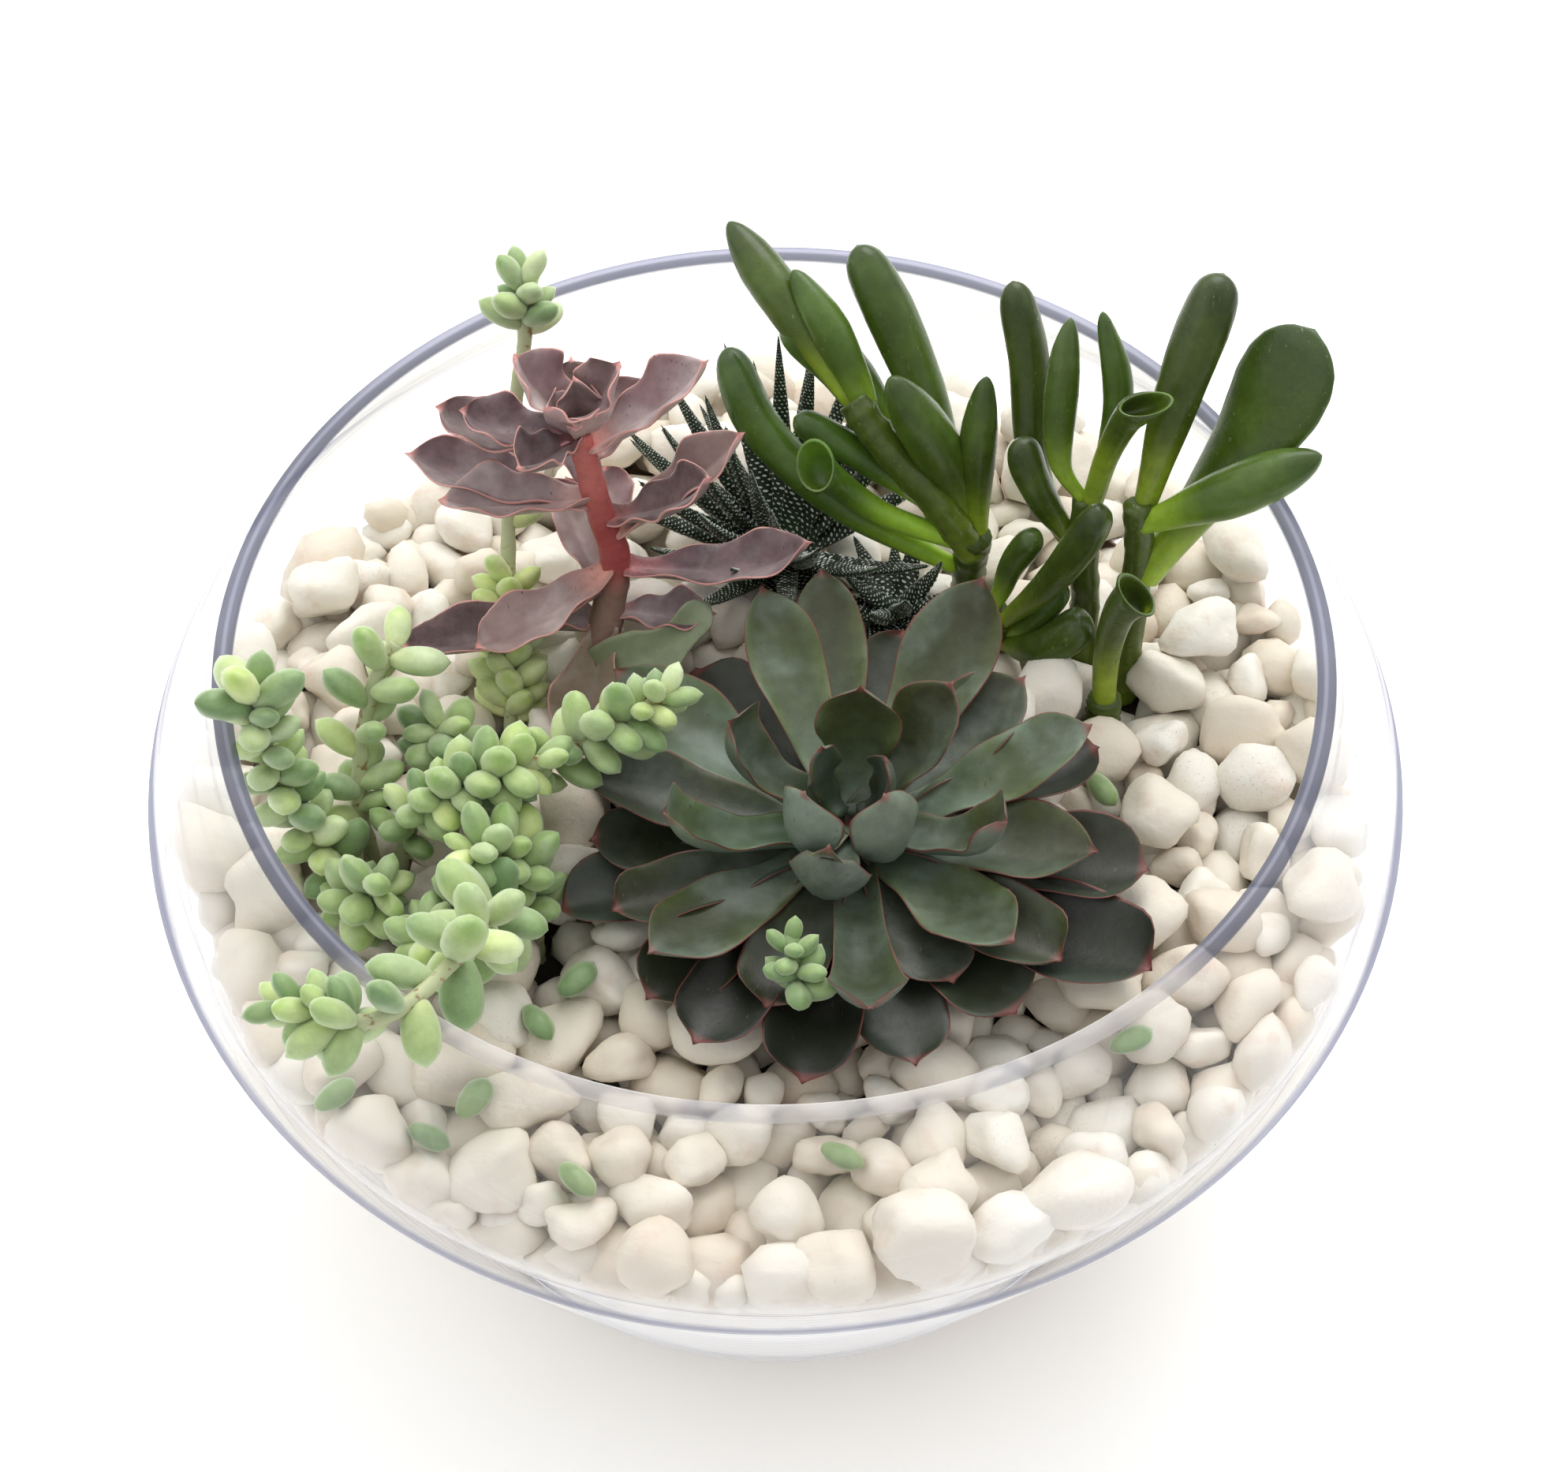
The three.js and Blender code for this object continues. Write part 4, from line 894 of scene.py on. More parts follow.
# The pale yellow Foot colour is partly the leaf's own colour and partly painted light shining through it.
jade_finish = leaf_finish(
    "jade_green",
    {
        "Foot": ink(168, 196, 52), "Blade": ink(62, 81, 18), "Tip": ink(51, 68, 24), "Old": ink(80, 98, 32),
        "Under": ink(79, 104, 22), "Under share": 0.35, "Margin": ink(150, 178, 112), "Margin start": 0.94,
        "Mottle": 0.8, "Foot end": 0.48, "Bloom": 0.35, "Bloom colour": ink(96, 120, 54),
        "Hue spread": 0.03, "Red tip": 0.0,
    },
    {"Speck size": 1300.0, "Scars": 0.45, "Scar": ink(128, 150, 98)},
    gloss=0.3, flesh=0.22, coat=0.05, bump=0.35, powder_sheen=0.16, shine=0.35,
)

# How a mouth is hollowed: the rings inside its rim, each as its width and its depth in half-widths.
MOUTH_RINGS = (
    (0.95, -0.07), (0.87, -0.05), (0.80, 0.12), (0.73, 0.35), (0.62, 0.62), (0.45, 0.85), (0.22, 0.98),
)
MOUTH_AROUND = 24
RIM_MARGIN = 0.97


def jade_mouth(growth, line, thick, facing, narrow, lot):
    """A round leaf whose end is cut aslant, towards facing, and hollowed inside a pale rim."""
    steps = len(line) - 1
    rings = [(i, i / steps, trumpet_outline(i / steps), 0.0) for i in range(1, steps + 1)]
    rings += [(steps, 1.0, trumpet_outline(1) * size, deep) for size, deep in MOUTH_RINGS]
    first = len(growth.places)
    growth.places.append(line[0])
    growth.mark(lot=lot)
    for number, (i, t, size, deep) in enumerate(rings):
        way = (line[min(i + 1, steps)] - line[i - 1]).normalized()
        normal = (facing - way * facing.dot(way)).normalized()
        side = way.cross(normal)
        opened = min(1.0, max(0.0, (t - 0.6) / 0.4)) ** 1.5
        half = thick / 2 * size
        for k in range(MOUTH_AROUND):
            turn = 2 * math.pi * k / MOUTH_AROUND
            c, s = math.cos(turn), math.sin(turn)
            slant = -0.55 * opened * half * s - deep * thick / 2
            sideways = c * half * (1 - (1 - narrow) * opened)
            growth.places.append(line[i] + side * sideways + normal * (s * half) + way * slant)
            growth.mark(
                along=t, margin=RIM_MARGIN if number in (steps, steps + 1) else 0.0, upper=0.5 * s, lot=lot,
                age=0.55 if number > steps + 1 else 0.0,
            )
    growth.places.append(line[-1] - (line[-1] - line[-2]).normalized() * (thick / 2 * 1.02))
    growth.mark(along=1.0, age=0.8, lot=lot)
    growth.skin(first, len(rings), MOUTH_AROUND)


def jade_leaf(growth, points, thick, kind="finger", facing=None, narrow=1.0, lot=0.5):
    """One leaf of the kind that JADES gives for it."""
    line = through(points, 36, 1.35)
    thick *= MM
    if kind == "paddle":
        growth.leaf(
            line, thick * 2.3, thick, paddle_outline, around=LEAF_AROUND, dish=0.12, lot=lot,
            body=paddle_body, brim=0.9,
        )
    elif kind == "trumpet":
        jade_mouth(growth, line, thick, Vector(facing), narrow, lot)
    else:
        outline = tapered_outline if kind == "tapered" else finger_outline
        growth.leaf(
            line, thick, thick * 0.9, outline, around=18, wave=0.0003, curl=0.05, lot=lot, brim=0.9,
        )


for name, plant in JADES.items():
    jade = Growth()
    for line in plant["stems"]:
        jade.stem(through(line, 40), plant["radius"] * MM, age=0.6, lot=0.3, knots=0.1)
    for order, leaf in enumerate(plant["leaves"]):
        jade_leaf(jade, *leaf, lot=plant.get("light", 0.2) + 0.7 * draw(order + 70))
    jade.piece(name + "_leaves", jade_finish, "jade_leaf", name)


# Haworthias
# Dark green rosettes of stiff tapering leaves, with small white warts in bands across their backs.
# They grow outwards from a short stem, and leave out the places that the jade has taken.

GOLDEN_ANGLE = 2.39996  # between one leaf and the next, all round a heart
HAWORTHIAS = {
    "haworthia_large": {"heart": (3, 67, 122), "reach": 54, "leaves": 50, "lean": 10},
    "haworthia_small": {"heart": (30, 47, 122), "reach": 23, "leaves": 22, "lean": 28},
}
HAWORTHIA_WIDTH = 5.8 * MM
HAWORTHIA_THICK = 3.4 * MM
JADE_ROOM = 3.6 * MM  # a leaf that would come nearer to the jade hasn't grown
spike_outline = through_widths(
    (0, 0.8), (0.1, 0.92), (0.25, 1.0), (0.45, 0.9), (0.7, 0.6), (0.9, 0.24), (0.97, 0.1), (1, 0),
)


def warts(t, ring, column):
    """How far a wart stands out at this place along a leaf, ring and column of its skin."""
    if ring % 2 == 0 and 0.05 < t < 0.97:
        strength = 0.62 + 0.6 * draw(ring * 17 + column * 5)
        return strength if (column + ring // 2) % 2 else 0.3 * draw(ring * 31 + column)
    return 0.0


def skin_search(*endings):
    """A search for the nearest place on the skins of the pieces whose names end like this."""
    skins = [piece.data for piece in bpy.context.scene.objects if piece.name.endswith(endings)]
    places = [v.co.copy() for skin in skins for v in skin.vertices]
    search = kdtree.KDTree(len(places))
    for number, place in enumerate(places):
        search.insert(place, number)
    search.balance()
    return search


jade_skin = skin_search(*(name + "_leaves" for name in JADES))

haworthia_finish, tree, surface = new_finish("haworthia_green")
hue = put(tree, "Group", node_tree=leaf_colour)
fill(tree, hue, {
    "Foot": ink(56, 76, 44), "Blade": ink(28, 42, 22), "Tip": ink(34, 50, 28), "Old": ink(22, 32, 20),
    "Under": ink(28, 42, 28), "Under share": 0.4, "Margin": ink(60, 76, 52), "Margin start": 0.95,
    "Mottle": 0.3, "Foot end": 0.3, "Red tip": 0.0,
})
wart = rise(tree, marked(tree, "spot"), 0.44, 0.66)
relief = put(tree, "Bump", {"Strength": 0.2, "Distance": 0.0003, "Height": grain(tree, 900.0)})
fill(tree, surface, {
    "Base Color": tint(tree, wart, hue.outputs["Colour"], ink(232, 238, 228)),
    "Roughness": reckon(tree, "ADD", reckon(tree, "MULTIPLY", grain(tree, 300.0), 0.2), 0.32),
    "Normal": relief.outputs[0],
})
for name, plant in HAWORTHIAS.items():
    heart = Vector(plant["heart"]) * MM
    tuft = Growth()
    tuft.stem([heart + UP * (z * MM) for z in range(-18, 3, 3)], 4.2 * MM, age=1.0)
    for i in range(plant["leaves"]):
        share = (i + 0.5) / plant["leaves"]
        angle = i * GOLDEN_ANGLE
        lean = math.radians(plant["lean"] + (70 - plant["lean"]) * share ** 0.9)
        length = plant["reach"] * (0.55 + 0.45 * math.sin(math.pi * (0.25 + 0.55 * share))) * MM
        out = Vector((math.cos(angle), math.sin(angle), 0.0))
        start = heart - UP * (4 * share * MM)
        tip = start + out * (length * math.sin(lean)) + UP * (length * math.cos(lean))
        middle = start.lerp(tip, 0.5) - UP * (length * 0.05) + out * (length * 0.09)
        line = bowed(start, middle, tip, int(plant["reach"] * 2.1))
        if any(jade_skin.find(place)[2] < JADE_ROOM for place in line[len(line) // 3:]):
            continue
        tuft.leaf(
            line, HAWORTHIA_WIDTH, HAWORTHIA_THICK, spike_outline, UP - out, around=18, fold=0.12,
            lot=draw(i + 90), knobs=warts,
        )
    tuft.piece(name + "_leaves", haworthia_finish, "haworthia_leaf", name)


# Sedum
# Burro's tail: ten thin pale stems with plump pointed leaves all round, powdered with a pale bloom.
# They are rooted in the soil, and the long ones bend over with the weight of their leaves.

# Each stem: its line, and sprays of leaves as (from, to, count, leaf length) along it. A spray may
# also say how far its leaves have yellowed.
SEDUMS = {
    "sedum_tall": (
        [(-63, 16, 114), (-62, 27, 123), (-63, 43, 134), (-63, 60, 147), (-61, 73, 165),
         (-58, 83, 180), (-58, 90, 192)],
        [(0.04, 0.36, 34, 11, 0.9), (0.44, 0.52, 2, 11), (0.84, 1, 12, 12)],
    ),
    "sedum_hanging": (
        [(-58, -31, 114), (-62, -46, 132), (-63, -60, 146), (-65, -76, 160), (-70, -92, 171),
         (-77, -103, 175), (-85, -107, 175), (-93, -104, 174), (-104, -100, 171)],
        [(0.12, 0.46, 16, 16), (0.5, 0.72, 4, 14), (0.76, 1, 20, 12)],
    ),
    "sedum_bare": (
        [(-94, -18, 114), (-96, -15, 128), (-95, -9, 138), (-93, -2, 147), (-90, 3, 154), (-86, 8, 158)],
        [(0.1, 0.3, 6, 12), (0.3, 1, 10, 13)],
    ),
    "sedum_left": (
        [(-93, -28, 114), (-103, -26, 126), (-109, -24, 140), (-112, -23, 154), (-114, -22, 168),
         (-115, -20, 174)],
        [(0.06, 0.84, 34, 12), (0.88, 1, 6, 17)],
    ),
    "sedum_arm": (
        [(-68, -20, 114), (-60, -17, 136), (-50, -16, 147), (-39, -15, 154), (-31, -14, 159),
         (-24, -12, 164)],
        [(0.08, 0.74, 24, 12), (0.74, 1, 14, 11)],
    ),
    "sedum_dense": (
        [(-55, -42, 114), (-56, -41, 132), (-60, -41, 143), (-67, -45, 150)],
        [(0.1, 1, 36, 12.5)],
    ),
    "sedum_middle": (
        [(-87, -23, 114), (-81, -24, 136), (-73, -26, 146), (-64, -25, 151), (-52, -24, 155)],
        [(0.1, 1, 40, 12)],
    ),
    "sedum_low_left": ([(-95, -34, 114), (-94, -41, 126), (-89, -43, 134)], [(0.15, 1, 22, 12)]),
    "sedum_low_front": ([(-74, -46, 114), (-77, -53, 126), (-77, -58, 134)], [(0.15, 1, 22, 12)]),
    "sedum_back": ([(-78, -5, 114), (-75, -3, 128), (-77, -2, 140)], [(0.15, 1, 22, 12)]),
}
SEDUM_RADIUS = 1.7 * MM
SEDUM_ROOT = 102  # mm, the height of the foot of each stem
SEDUM_STEPS = 14
SEDUM_TRIES = 6

drop_outline = through_widths(
    (0, 0.28), (0.06, 0.46), (0.15, 0.66), (0.3, 0.88), (0.45, 0.99), (0.62, 1.0), (0.75, 0.92), (0.85, 0.76),
    (0.92, 0.54), (0.96, 0.33), (0.985, 0.15), (1, 0.05),
)
sedum_finish = leaf_finish(
    "sedum_green",
    {
        "Foot": ink(214, 220, 152), "Blade": ink(184, 202, 136), "Tip": ink(152, 182, 98),
        "Old": ink(124, 152, 104),
        "Under": ink(186, 202, 130), "Under share": 0.15, "Margin": ink(170, 190, 125), "Margin start": 0.94,
        "Mottle": 0.55, "Foot end": 0.5, "Bloom": 0.6, "Bloom colour": ink(208, 219, 192),
        "Side": ink(200, 214, 164), "Side share": 0.4, "Hue spread": -0.04, "Red tip": 0.0,
    },
    {"Speck size": 900.0, "Scars": 0.12, "Scar": ink(110, 92, 50)},
    gloss=0.42, flesh=0.2, powder_sheen=0.55,
)
sedum_stem_finish, tree, surface = new_finish("sedum_stem")
scar = rise(tree, grain(tree, 330.0, 3.0), 0.56, 0.66)
relief = put(tree, "Bump", {"Strength": 0.4, "Distance": 0.0004, "Height": grain(tree, 700.0)})
fill(tree, surface, {
    "Base Color": tint(tree, scar, (0.42, 0.46, 0.26, 1), (0.26, 0.15, 0.06, 1)),
    "Roughness": 0.55,
    "Normal": relief.outputs[0],
})
taken = []  # balls that leaves already fill, each as its middle and its radius


def sedum_leaf(growth, centre, way, length, lot, age=0.0):
    """One plump leaf round its centre, a little bent."""
    side = way.cross(Vector((0.2, 0.5, 0.84))).normalized()
    line = []
    for i in range(SEDUM_STEPS + 1):
        bend = 0.03 * length * math.sin(math.pi * i / SEDUM_STEPS)
        line.append(centre + way * (length * (i / SEDUM_STEPS - 0.5)) + side * bend)
    growth.leaf(
        line, 0.62 * length, 0.50 * length, drop_outline, way.cross(side), around=12, lot=lot, age=age,
        point=0.4 * MM, brim=0.9,
    )


def sedum_spray(growth, line, spray, seed):
    """Leaves in a spiral along part of a stem, each where no other leaf is in its way."""
    start, end, count, length, *yellowed = spray
    ripe = yellowed[0] if yellowed else 0.0
    length *= MM
    steps = len(line) - 1
    for i in range(count):
        along = start + (end - start) * (i + 0.5) / count
        k = min(int(along * steps), steps - 1)
        foot = line[k].lerp(line[k + 1], along * steps - k)
        way = (line[k + 1] - line[k]).normalized()
        lean = 1.6 if along > 0.95 else 0.55
        size = length * (0.8 + 0.35 * draw(seed + i)) * (0.8 if along > 0.9 else 1.0)
        for turn in range(SEDUM_TRIES):
            side = way.cross(ASLANT).normalized()
            side.rotate(Matrix.Rotation(i * GOLDEN_ANGLE + turn * 0.8, 3, way))
            out = (side + way * lean).normalized()
            middle, tip = foot + out * size * 0.5, foot + out * size * 0.85
            near = size * 0.24
            if any(
                (middle - place).length < near + radius or (tip - place).length < near * 0.5 + radius
                for place, radius in taken
            ):
                continue
            taken.append((middle, size * 0.16))
            taken.append((tip, size * 0.08))
            lot = ripe + (1 - ripe) * draw(seed + i + 0.4)
            age = (1 - ripe) * draw(seed + i + 0.7) ** 2
            sedum_leaf(growth, foot + out * (size * 0.5), out, size, lot, age)
            break


for order, (name, (points, sprays)) in enumerate(SEDUMS.items()):
    line = through(points, 60)
    leaves, stalk = Growth(), Growth()
    x, y, z = points[0]
    stalk.stem(through([(x, y, SEDUM_ROOT)] + points, 60), SEDUM_RADIUS, around=10, knots=0.15)
    for spray in sprays:
        sedum_spray(leaves, line, spray, seed=100 + order * 20)
    leaves.piece(name + "_leaves", sedum_finish, "sedum_leaf", name)
    stalk.piece(name + "_stem", sedum_stem_finish, "sedum_leaf", name)


# Potting soil
# Dark moist peat with small crumbs and a little grit. It was pressed in before the pebbles were
# poured round it, and is bare only between the plants.

BED_TOP = 0.112
SOIL_EDGE = 0.060
SOIL_FLOOR = 0.0203
SOIL_FLOOR_RADIUS = 0.0654
SOIL_SHOULDER = (0.09725, 0.1037)
SOIL_AROUND = 120
CRUMBS = 700
WORN_FLATS = 8
WORN_SHARPNESS = 10.0

outline = [(0.0, SOIL_FLOOR), (SOIL_FLOOR_RADIUS, SOIL_FLOOR), SOIL_SHOULDER, (SOIL_EDGE, 0.1040)]
outline += [(radius * MM, BED_TOP) for radius in range(59, 0, -2)] + [(0.0, BED_TOP)]
places, faces = turned(outline, SOIL_AROUND)
lifted = []
for x, y, z in places:
    if z > BED_TOP - 0.001:
        here = Vector((x, y, 0.0))
        z += 0.0016 * noise.noise(here * 70) + 0.0011 * noise.noise(here * 260) - 0.0006
    lifted.append((x, y, z))


def lump_places(fineness):
    """The places and faces of an even ball of radius 1, finer with each step of fineness."""
    ball = bmesh.new()
    bmesh.ops.create_icosphere(ball, subdivisions=fineness, radius=1.0)
    places = np.array([v.co[:] for v in ball.verts])
    faces = [[v.index for v in f.verts] for f in ball.faces]
    ball.free()
    return places, faces


def lump(fineness, number):
    """A rounded stone of about unit radius: an uneven ball with flats worn on it."""
    places, faces = lump_places(fineness)
    worn = np.ones(len(places))
    for k in range(WORN_FLATS):
        z = 2 * draw(number + 0.11 * k) - 1
        turn = 2 * math.pi * draw(number + 0.13 * k + 5)
        flat = np.array([math.sqrt(1 - z * z) * math.cos(turn), math.sqrt(1 - z * z) * math.sin(turn), z])
        depth = 0.60 + 0.32 * draw(number + 0.17 * k + 9)
        worn += np.maximum(0.0, places @ flat / depth) ** WORN_SHARPNESS
    here = Vector((number, 3.0, 7.0))
    swell = [
        1 + 0.22 * noise.noise(Vector(p) * 1.2 + here) + 0.04 * noise.noise(Vector(p) * 3.4 + here)
        for p in places
    ]
    return places * (worn ** (-1 / WORN_SHARPNESS) * np.array(swell))[:, None], faces


for i in range(CRUMBS):
    radius = SOIL_EDGE * 1.05 * math.sqrt((i + 0.5) / CRUMBS)
    x, y = radius * math.cos(i * GOLDEN_ANGLE), radius * math.sin(i * GOLDEN_ANGLE)
    size = (0.5 + 1.4 * draw(i + 300) ** 3) * MM
    crumb, crumb_faces = lump(1, i + 300)
    first = len(lifted)
    lifted += [(x + size * a, y + size * b, BED_TOP + size * (0.7 * c + 0.1)) for a, b, c in crumb]
    faces += [[first + v for v in face] for face in crumb_faces]
soil = shape("potting_soil_peat", lifted, faces)
peat, tree, surface = new_finish("moist_peat")
speckle = rise(tree, grain(tree, 900.0, 4.0, 0.7), 0.60, 0.72)
relief = put(tree, "Bump", {"Strength": 0.8, "Distance": 0.0008, "Height": grain(tree, 800.0, 4.0)})
fill(tree, surface, {
    "Base Color": tint(tree, speckle, (0.034, 0.026, 0.019, 1), (0.11, 0.085, 0.06, 1)),
    "Roughness": reckon(tree, "ADD", reckon(tree, "MULTIPLY", grain(tree, 300.0), 0.3), 0.65),
    "Normal": relief.outputs[0],
})
part(soil, peat, "potting_soil")


# Pebbles
# Tumbled white marble, about 10 to 28 mm, poured in against the glass and spread round the plants.
# The stones have settled until their neighbours, the glass and the soil hold them.

FULL_TURN = 6.283  # radians
WALL_ROOM = 0.2 * MM
plant_skin = skin_search("_leaves", "_stem", "_leaf")


def wall_at(heights):
    """How far the inside of the glass is from the axis, at each height."""
    curve_radii, curve_heights = zip(*belly(WALL))
    low = lower_cone(heights) - WALL
    high = upper_cone(heights) - WALL
    middle = np.interp(heights, curve_heights, curve_radii)
    return np.where(heights < curve_heights[0], low, np.where(heights > curve_heights[-1], high, middle))


class Heap:
    """Stones gathered into one mesh. One that would stand in the glass is moved in until it clears it."""

    def __init__(self):
        self.places = []
        self.faces = []
        self.lots = []

    def add(self, centre, radius, number, fineness, normal=UP, heading=None):
        """A stone that lies flat against what normal points away from."""
        stone, faces = lump(fineness, number)
        stretch = np.array([
            1.16 + 0.42 * draw(number + 0.2),
            1.02 + 0.14 * draw(number + 0.3),
            0.84 + 0.24 * draw(number + 0.4),
        ])
        turn = Matrix.Rotation(FULL_TURN * draw(number + 0.5) if heading is None else heading, 3, "Z")
        tilt = Matrix.Rotation(0.8 * (draw(number + 0.6) - 0.5), 3, "X")
        matrix = np.array(UP.rotation_difference(normal).to_matrix() @ tilt @ turn)
        stone = (stone * stretch * radius) @ matrix.T + np.array(centre)
        away = np.hypot(stone[:, 0], stone[:, 1])
        through_wall = max(0.0, float((away - wall_at(stone[:, 2])).max()) + WALL_ROOM)
        stone[:, :2] *= 1 - through_wall / math.hypot(centre[0], centre[1])
        stone[:, 2] += max(0.0, FOOT_GLASS + WALL_ROOM - float(stone[:, 2].min()))
        first = len(self.places)
        self.places += [tuple(p) for p in stone]
        self.faces += [[first + v for v in face] for face in faces]
        self.lots += [draw(number + 0.9)] * len(stone)


SNUG = 0.93  # how near two stones come, as a share of their radii
PUSH = 0.42  # how much of their overlap each takes up in one round


def settle(places, radii, hold, rounds, fall=0.0006):
    """Let stones fall and push each other apart until they lie close together."""
    for step in range(rounds):
        places[:, 2] -= fall * (1 - step / rounds)
        gap = places[:, None, :] - places[None, :, :]
        apart = np.sqrt((gap ** 2).sum(2)) + np.eye(len(places))
        over = np.maximum(0.0, (radii[:, None] + radii[None, :]) * SNUG - apart)
        np.fill_diagonal(over, 0.0)
        places += (gap * (over / apart)[:, :, None]).sum(1) * PUSH
        hold(places, radii)


def hold_within(places, inner, outer):
    """Keep places between two distances from the axis."""
    away = np.maximum(1e-6, np.hypot(places[:, 0], places[:, 1]))
    kept = np.minimum(np.maximum(away, inner), outer)
    places[:, :2] *= (kept / away)[:, None]


# One layer of stones stands against the sloping wall, from the foot up to the bed's top.
WALL_LEAN = math.atan((BELLY_CORNER - FOOT_RADIUS) / BELLY_HEIGHT)
WALL_STONES = 470
WALL_START = 0.12  # m from the axis, before they settle
WALL_ROUNDS = 90
WALL_SPREAD = 0.754877  # from one stone's height to the next, as a share of the layer's
SEEN_DEPTH = 0.9  # of a stone's radius, from the glass to its middle


def hold_at_wall(places, radii):
    """Keep stones against the wall and off the foot."""
    places[:, 2] = np.maximum(places[:, 2], FOOT_GLASS + radii * 0.9)
    against = wall_at(places[:, 2]) - radii * SEEN_DEPTH / math.cos(WALL_LEAN)
    hold_within(places, against, against)


numbers = np.arange(WALL_STONES)
wall_radii = np.array([(5.0 + 4.6 * draw(n + 0.5) ** 1.4) * MM for n in numbers])
heights = FOOT_GLASS + 0.008 + 0.094 * np.sqrt((numbers * WALL_SPREAD) % 1.0)
turns = numbers * GOLDEN_ANGLE
wall_places = np.stack([WALL_START * np.cos(turns), WALL_START * np.sin(turns), heights], axis=1)
settle(wall_places, wall_radii, hold_at_wall, WALL_ROUNDS, fall=0.0002)
heap_low = [Heap(), Heap()]
for n, (x, y, z) in enumerate(wall_places):
    if z > BED_TOP:
        continue
    slope = Vector((x, y, 0.0)).normalized() * math.cos(WALL_LEAN) - UP * math.sin(WALL_LEAN)
    heap_low[0 if y < 0 else 1].add((x, y, z), wall_radii[n], n + 1000, 2, slope)

# Two loose layers lie on top, up to the glass and in between the plants.
TOP_FLOOR = BED_TOP - 0.012
TOP_STONES = 620
TOP_INNER = 0.034
TOP_OUTER = 0.136
TOP_ROUNDS = 110
TOP_SPREAD = 0.569840  # from one stone's level to the next, as a share of the layers'
POST_ROOM = 0.0045

# What stands in the bed, which the stones lie round.
posts = [PURPLE_STEM[0]] + [line[1] for plant in JADES.values() for line in plant["stems"][:1]]
posts += [plant["heart"] for plant in HAWORTHIAS.values()] + [line[0] for line, sprays in SEDUMS.values()]


def hold_on_top(places, radii):
    """Keep stones off the stems, above the soil and inside the glass."""
    for x, y, z in posts:
        gap = places[:, :2] - np.array([x, y]) * MM
        apart = np.maximum(1e-6, np.hypot(gap[:, 0], gap[:, 1]))
        pushed = np.maximum(0.0, POST_ROOM + radii * 0.95 - apart)
        places[:, :2] += gap * (pushed / apart)[:, None]
    places[:, 2] = np.maximum(places[:, 2], TOP_FLOOR + radii * 0.7)
    over_soil = np.hypot(places[:, 0], places[:, 1]) < SOIL_EDGE
    places[over_soil, 2] = np.maximum(places[over_soil, 2], BED_TOP + radii[over_soil] * 0.5)
    hold_within(places, TOP_INNER, wall_at(places[:, 2]) - radii * 1.08)


numbers = np.arange(TOP_STONES)
top_radii = np.array([(4.6 + 4.7 * draw(n + 0.25) ** 1.5) * MM for n in numbers])
turns = numbers * GOLDEN_ANGLE
away = np.sqrt(TOP_INNER ** 2 + (TOP_OUTER ** 2 - TOP_INNER ** 2) * (numbers + 0.5) / TOP_STONES)
levels = TOP_FLOOR + 0.012 + 0.016 * ((numbers * TOP_SPREAD) % 1.0)
top_places = np.stack([away * np.cos(turns), away * np.sin(turns), levels], axis=1)
settle(top_places, top_radii, hold_on_top, TOP_ROUNDS)

heaps = [Heap(), Heap(), Heap(), Heap()]
for order in range(TOP_STONES):
    centre, radius = Vector(top_places[order]), top_radii[order]
    while plant_skin.find(centre)[2] < radius * 0.9 and centre.z > TOP_FLOOR:
        centre.z -= 0.001
    if plant_skin.find(centre)[2] < radius * 0.8:
        continue
    quarter = (0 if centre.x < 0 else 1) + (0 if centre.y < 0 else 2)
    heading = None
    if math.hypot(centre.x, centre.y) > wall_at(np.array(centre.z)) - 1.6 * radius:
        heading = math.atan2(centre.y, centre.x) + math.pi / 2 + 0.5 * (draw(order + 0.8) - 0.5)
    fineness = 3 if centre.z > BED_TOP - 0.002 else 2
    heaps[quarter].add(tuple(centre), radius, order + 5000, fineness, UP, heading)

# What lies behind the stones that can be seen is one rough body, coloured a darker brown than the stones as
# painted shade in the gaps between them.
BACKING_DEPTH = 0.010
BACKING_FLOOR = FOOT_GLASS + 0.0003
SOIL_ROOM = 0.0605
backing_heights = np.linspace(0.014, 0.097, 18)
backing = [(0.0, BACKING_FLOOR), (0.076, BACKING_FLOOR)]
backing += list(zip(wall_at(backing_heights) - BACKING_DEPTH, backing_heights))
backing += [(radius, BED_TOP - 0.0135) for radius in np.linspace(0.122, SOIL_ROOM, 12)]
backing += [(SOIL_ROOM, 0.0975), (0.067, 0.0195), (0.0, 0.0195)]
places, faces = turned(backing, SOIL_AROUND)
bed = shape("pebble_bed_painted_shade", places, faces, {"lot": [0.5] * len(places)})

marble, tree, surface = new_finish("white_marble")
lot = marked(tree, "lot")
vein = rise(tree, grain(tree, 95.0, 4.0, 0.6), 0.52, 0.72)
body_colour = tint(tree, lot, ink(236, 232, 222), ink(222, 211, 193))
body_colour = tint(tree, reckon(tree, "MULTIPLY", vein, 0.5), body_colour, ink(214, 190, 170))
pitted = rise(tree, grain(tree, 22.0, 2.0), 0.56, 0.66)
dust = reckon(tree, "MULTIPLY", rise(tree, grain(tree, 1300.0, 2.0, 0.7), 0.60, 0.70), pitted)
relief = put(tree, "Bump", {"Strength": 0.5, "Distance": 0.0006, "Height": grain(tree, 380.0, 4.0)})
fill(tree, surface, {
    "Base Color": tint(tree, reckon(tree, "MULTIPLY", dust, 0.4), body_colour, (0.32, 0.27, 0.22, 1)),
    "Roughness": reckon(tree, "ADD", reckon(tree, "MULTIPLY", grain(tree, 400.0, 2.0), 0.2), 0.5),
    "Normal": relief.outputs[0],
    "Subsurface Weight": 0.12,
    "Subsurface Radius": (1.0, 0.7, 0.5),
    "Subsurface Scale": 0.004,
})
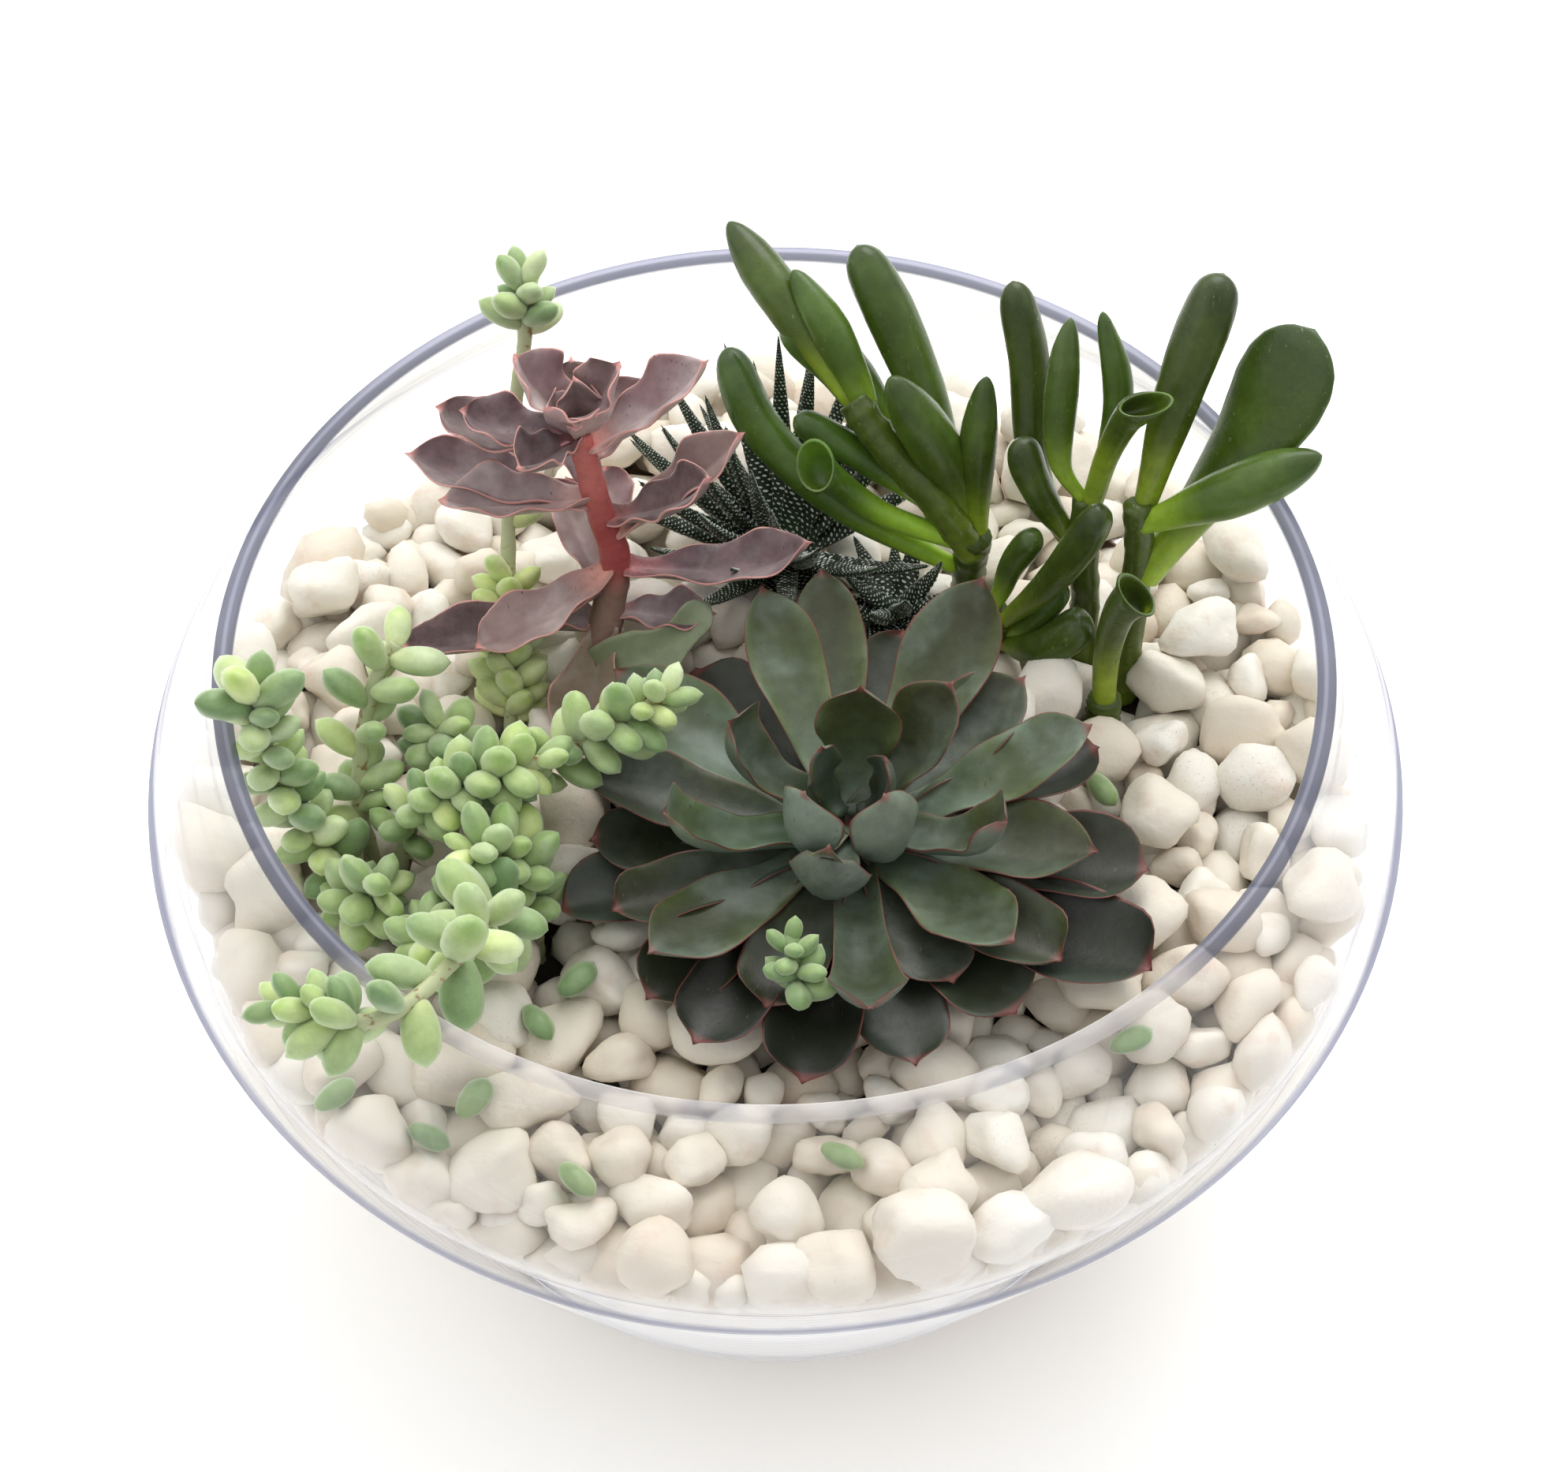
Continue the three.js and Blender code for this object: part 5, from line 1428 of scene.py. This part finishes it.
# Painted shade: the backing is a dark warm brown where the white stones behind would lie in shade.
deep, tree, surface = new_finish("pebble_gaps_painted_shade")
relief = put(tree, "Bump", {"Strength": 0.8, "Distance": 0.003, "Height": grain(tree, 110.0)})
fill(tree, surface, {
    "Base Color": tint(tree, grain(tree, 120.0), ink(186, 156, 130), ink(140, 110, 86)),
    "Roughness": 0.8,
    "Normal": relief.outputs[0],
})
part(bed, deep, "pebble_bed")
names = ("wall_front", "wall_back", "front_left", "front_right", "back_left", "back_right")
for heap, name in zip(heap_low + heaps, names):
    stones = shape("pebbles_" + name, heap.places, heap.faces, {"lot": heap.lots})
    part(stones, marble, "pebble_bed")


# Fallen leaves
# Sedum leaves that dropped and lie on the pebbles, and a small sprig that lies on the rosette.
# Each leaf has come down, a little backwards, until it rests on the stones under it.

FALLEN_LEAVES = 9
SPRIG_LEAVES = 12
COMING_DOWN = Vector((0.0, 0.5, -0.7))

stone_places = np.concatenate([np.array(heap.places) for heap in heaps])
for k in range(1, FALLEN_LEAVES + 1):
    node = f"sedum_fallen_{k}"
    low, high = (Vector(corner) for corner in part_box(node))
    span, middle = high - low, (low + high) / 2
    length = span.xy.length * 0.8
    for again in range(6):
        near = np.hypot(stone_places[:, 0] - middle.x, stone_places[:, 1] - middle.y) < 0.3 * length
        fall = middle.z - 0.2 * length - float(stone_places[near, 2].max())
        middle += COMING_DOWN * fall
    turn = math.atan2(span.y, span.x) * (1 if draw(k + 800) > 0.5 else -1)
    way = Vector((math.cos(turn), math.sin(turn), 0.0))
    fallen = Growth()
    sedum_leaf(fallen, middle, way, length, 0.4 * draw(k + 801), age=0.85)
    fallen.piece(node + "_leaf", sedum_finish, "sedum_leaf", node)

low, high = (Vector(corner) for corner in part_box("sedum_sprig"))
middle = (low + high) / 2
sprig = Growth()
bends = ((0, -6, -3), (1, -2, 0), (-1, 3, 3))
sprig_line = through([tuple(p / MM for p in middle + Vector(bend) * MM) for bend in bends], SPRIG_LEAVES)
sprig.stem(sprig_line, 1.1 * MM, around=8)
for i in range(SPRIG_LEAVES):
    turn = i * GOLDEN_ANGLE
    out = Vector((math.cos(turn), math.sin(turn), 0.2 + i * 0.1)).normalized()
    foot = sprig_line[min(SPRIG_LEAVES, 2 + i)]
    sedum_leaf(sprig, foot + out * 4.4 * MM, out, (10.5 - 0.35 * i) * MM, 0.5 * draw(i + 900), age=0.8)
sprig.piece("sedum_sprig_leaves", sedum_finish, "sedum_leaf", "sedum_sprig")
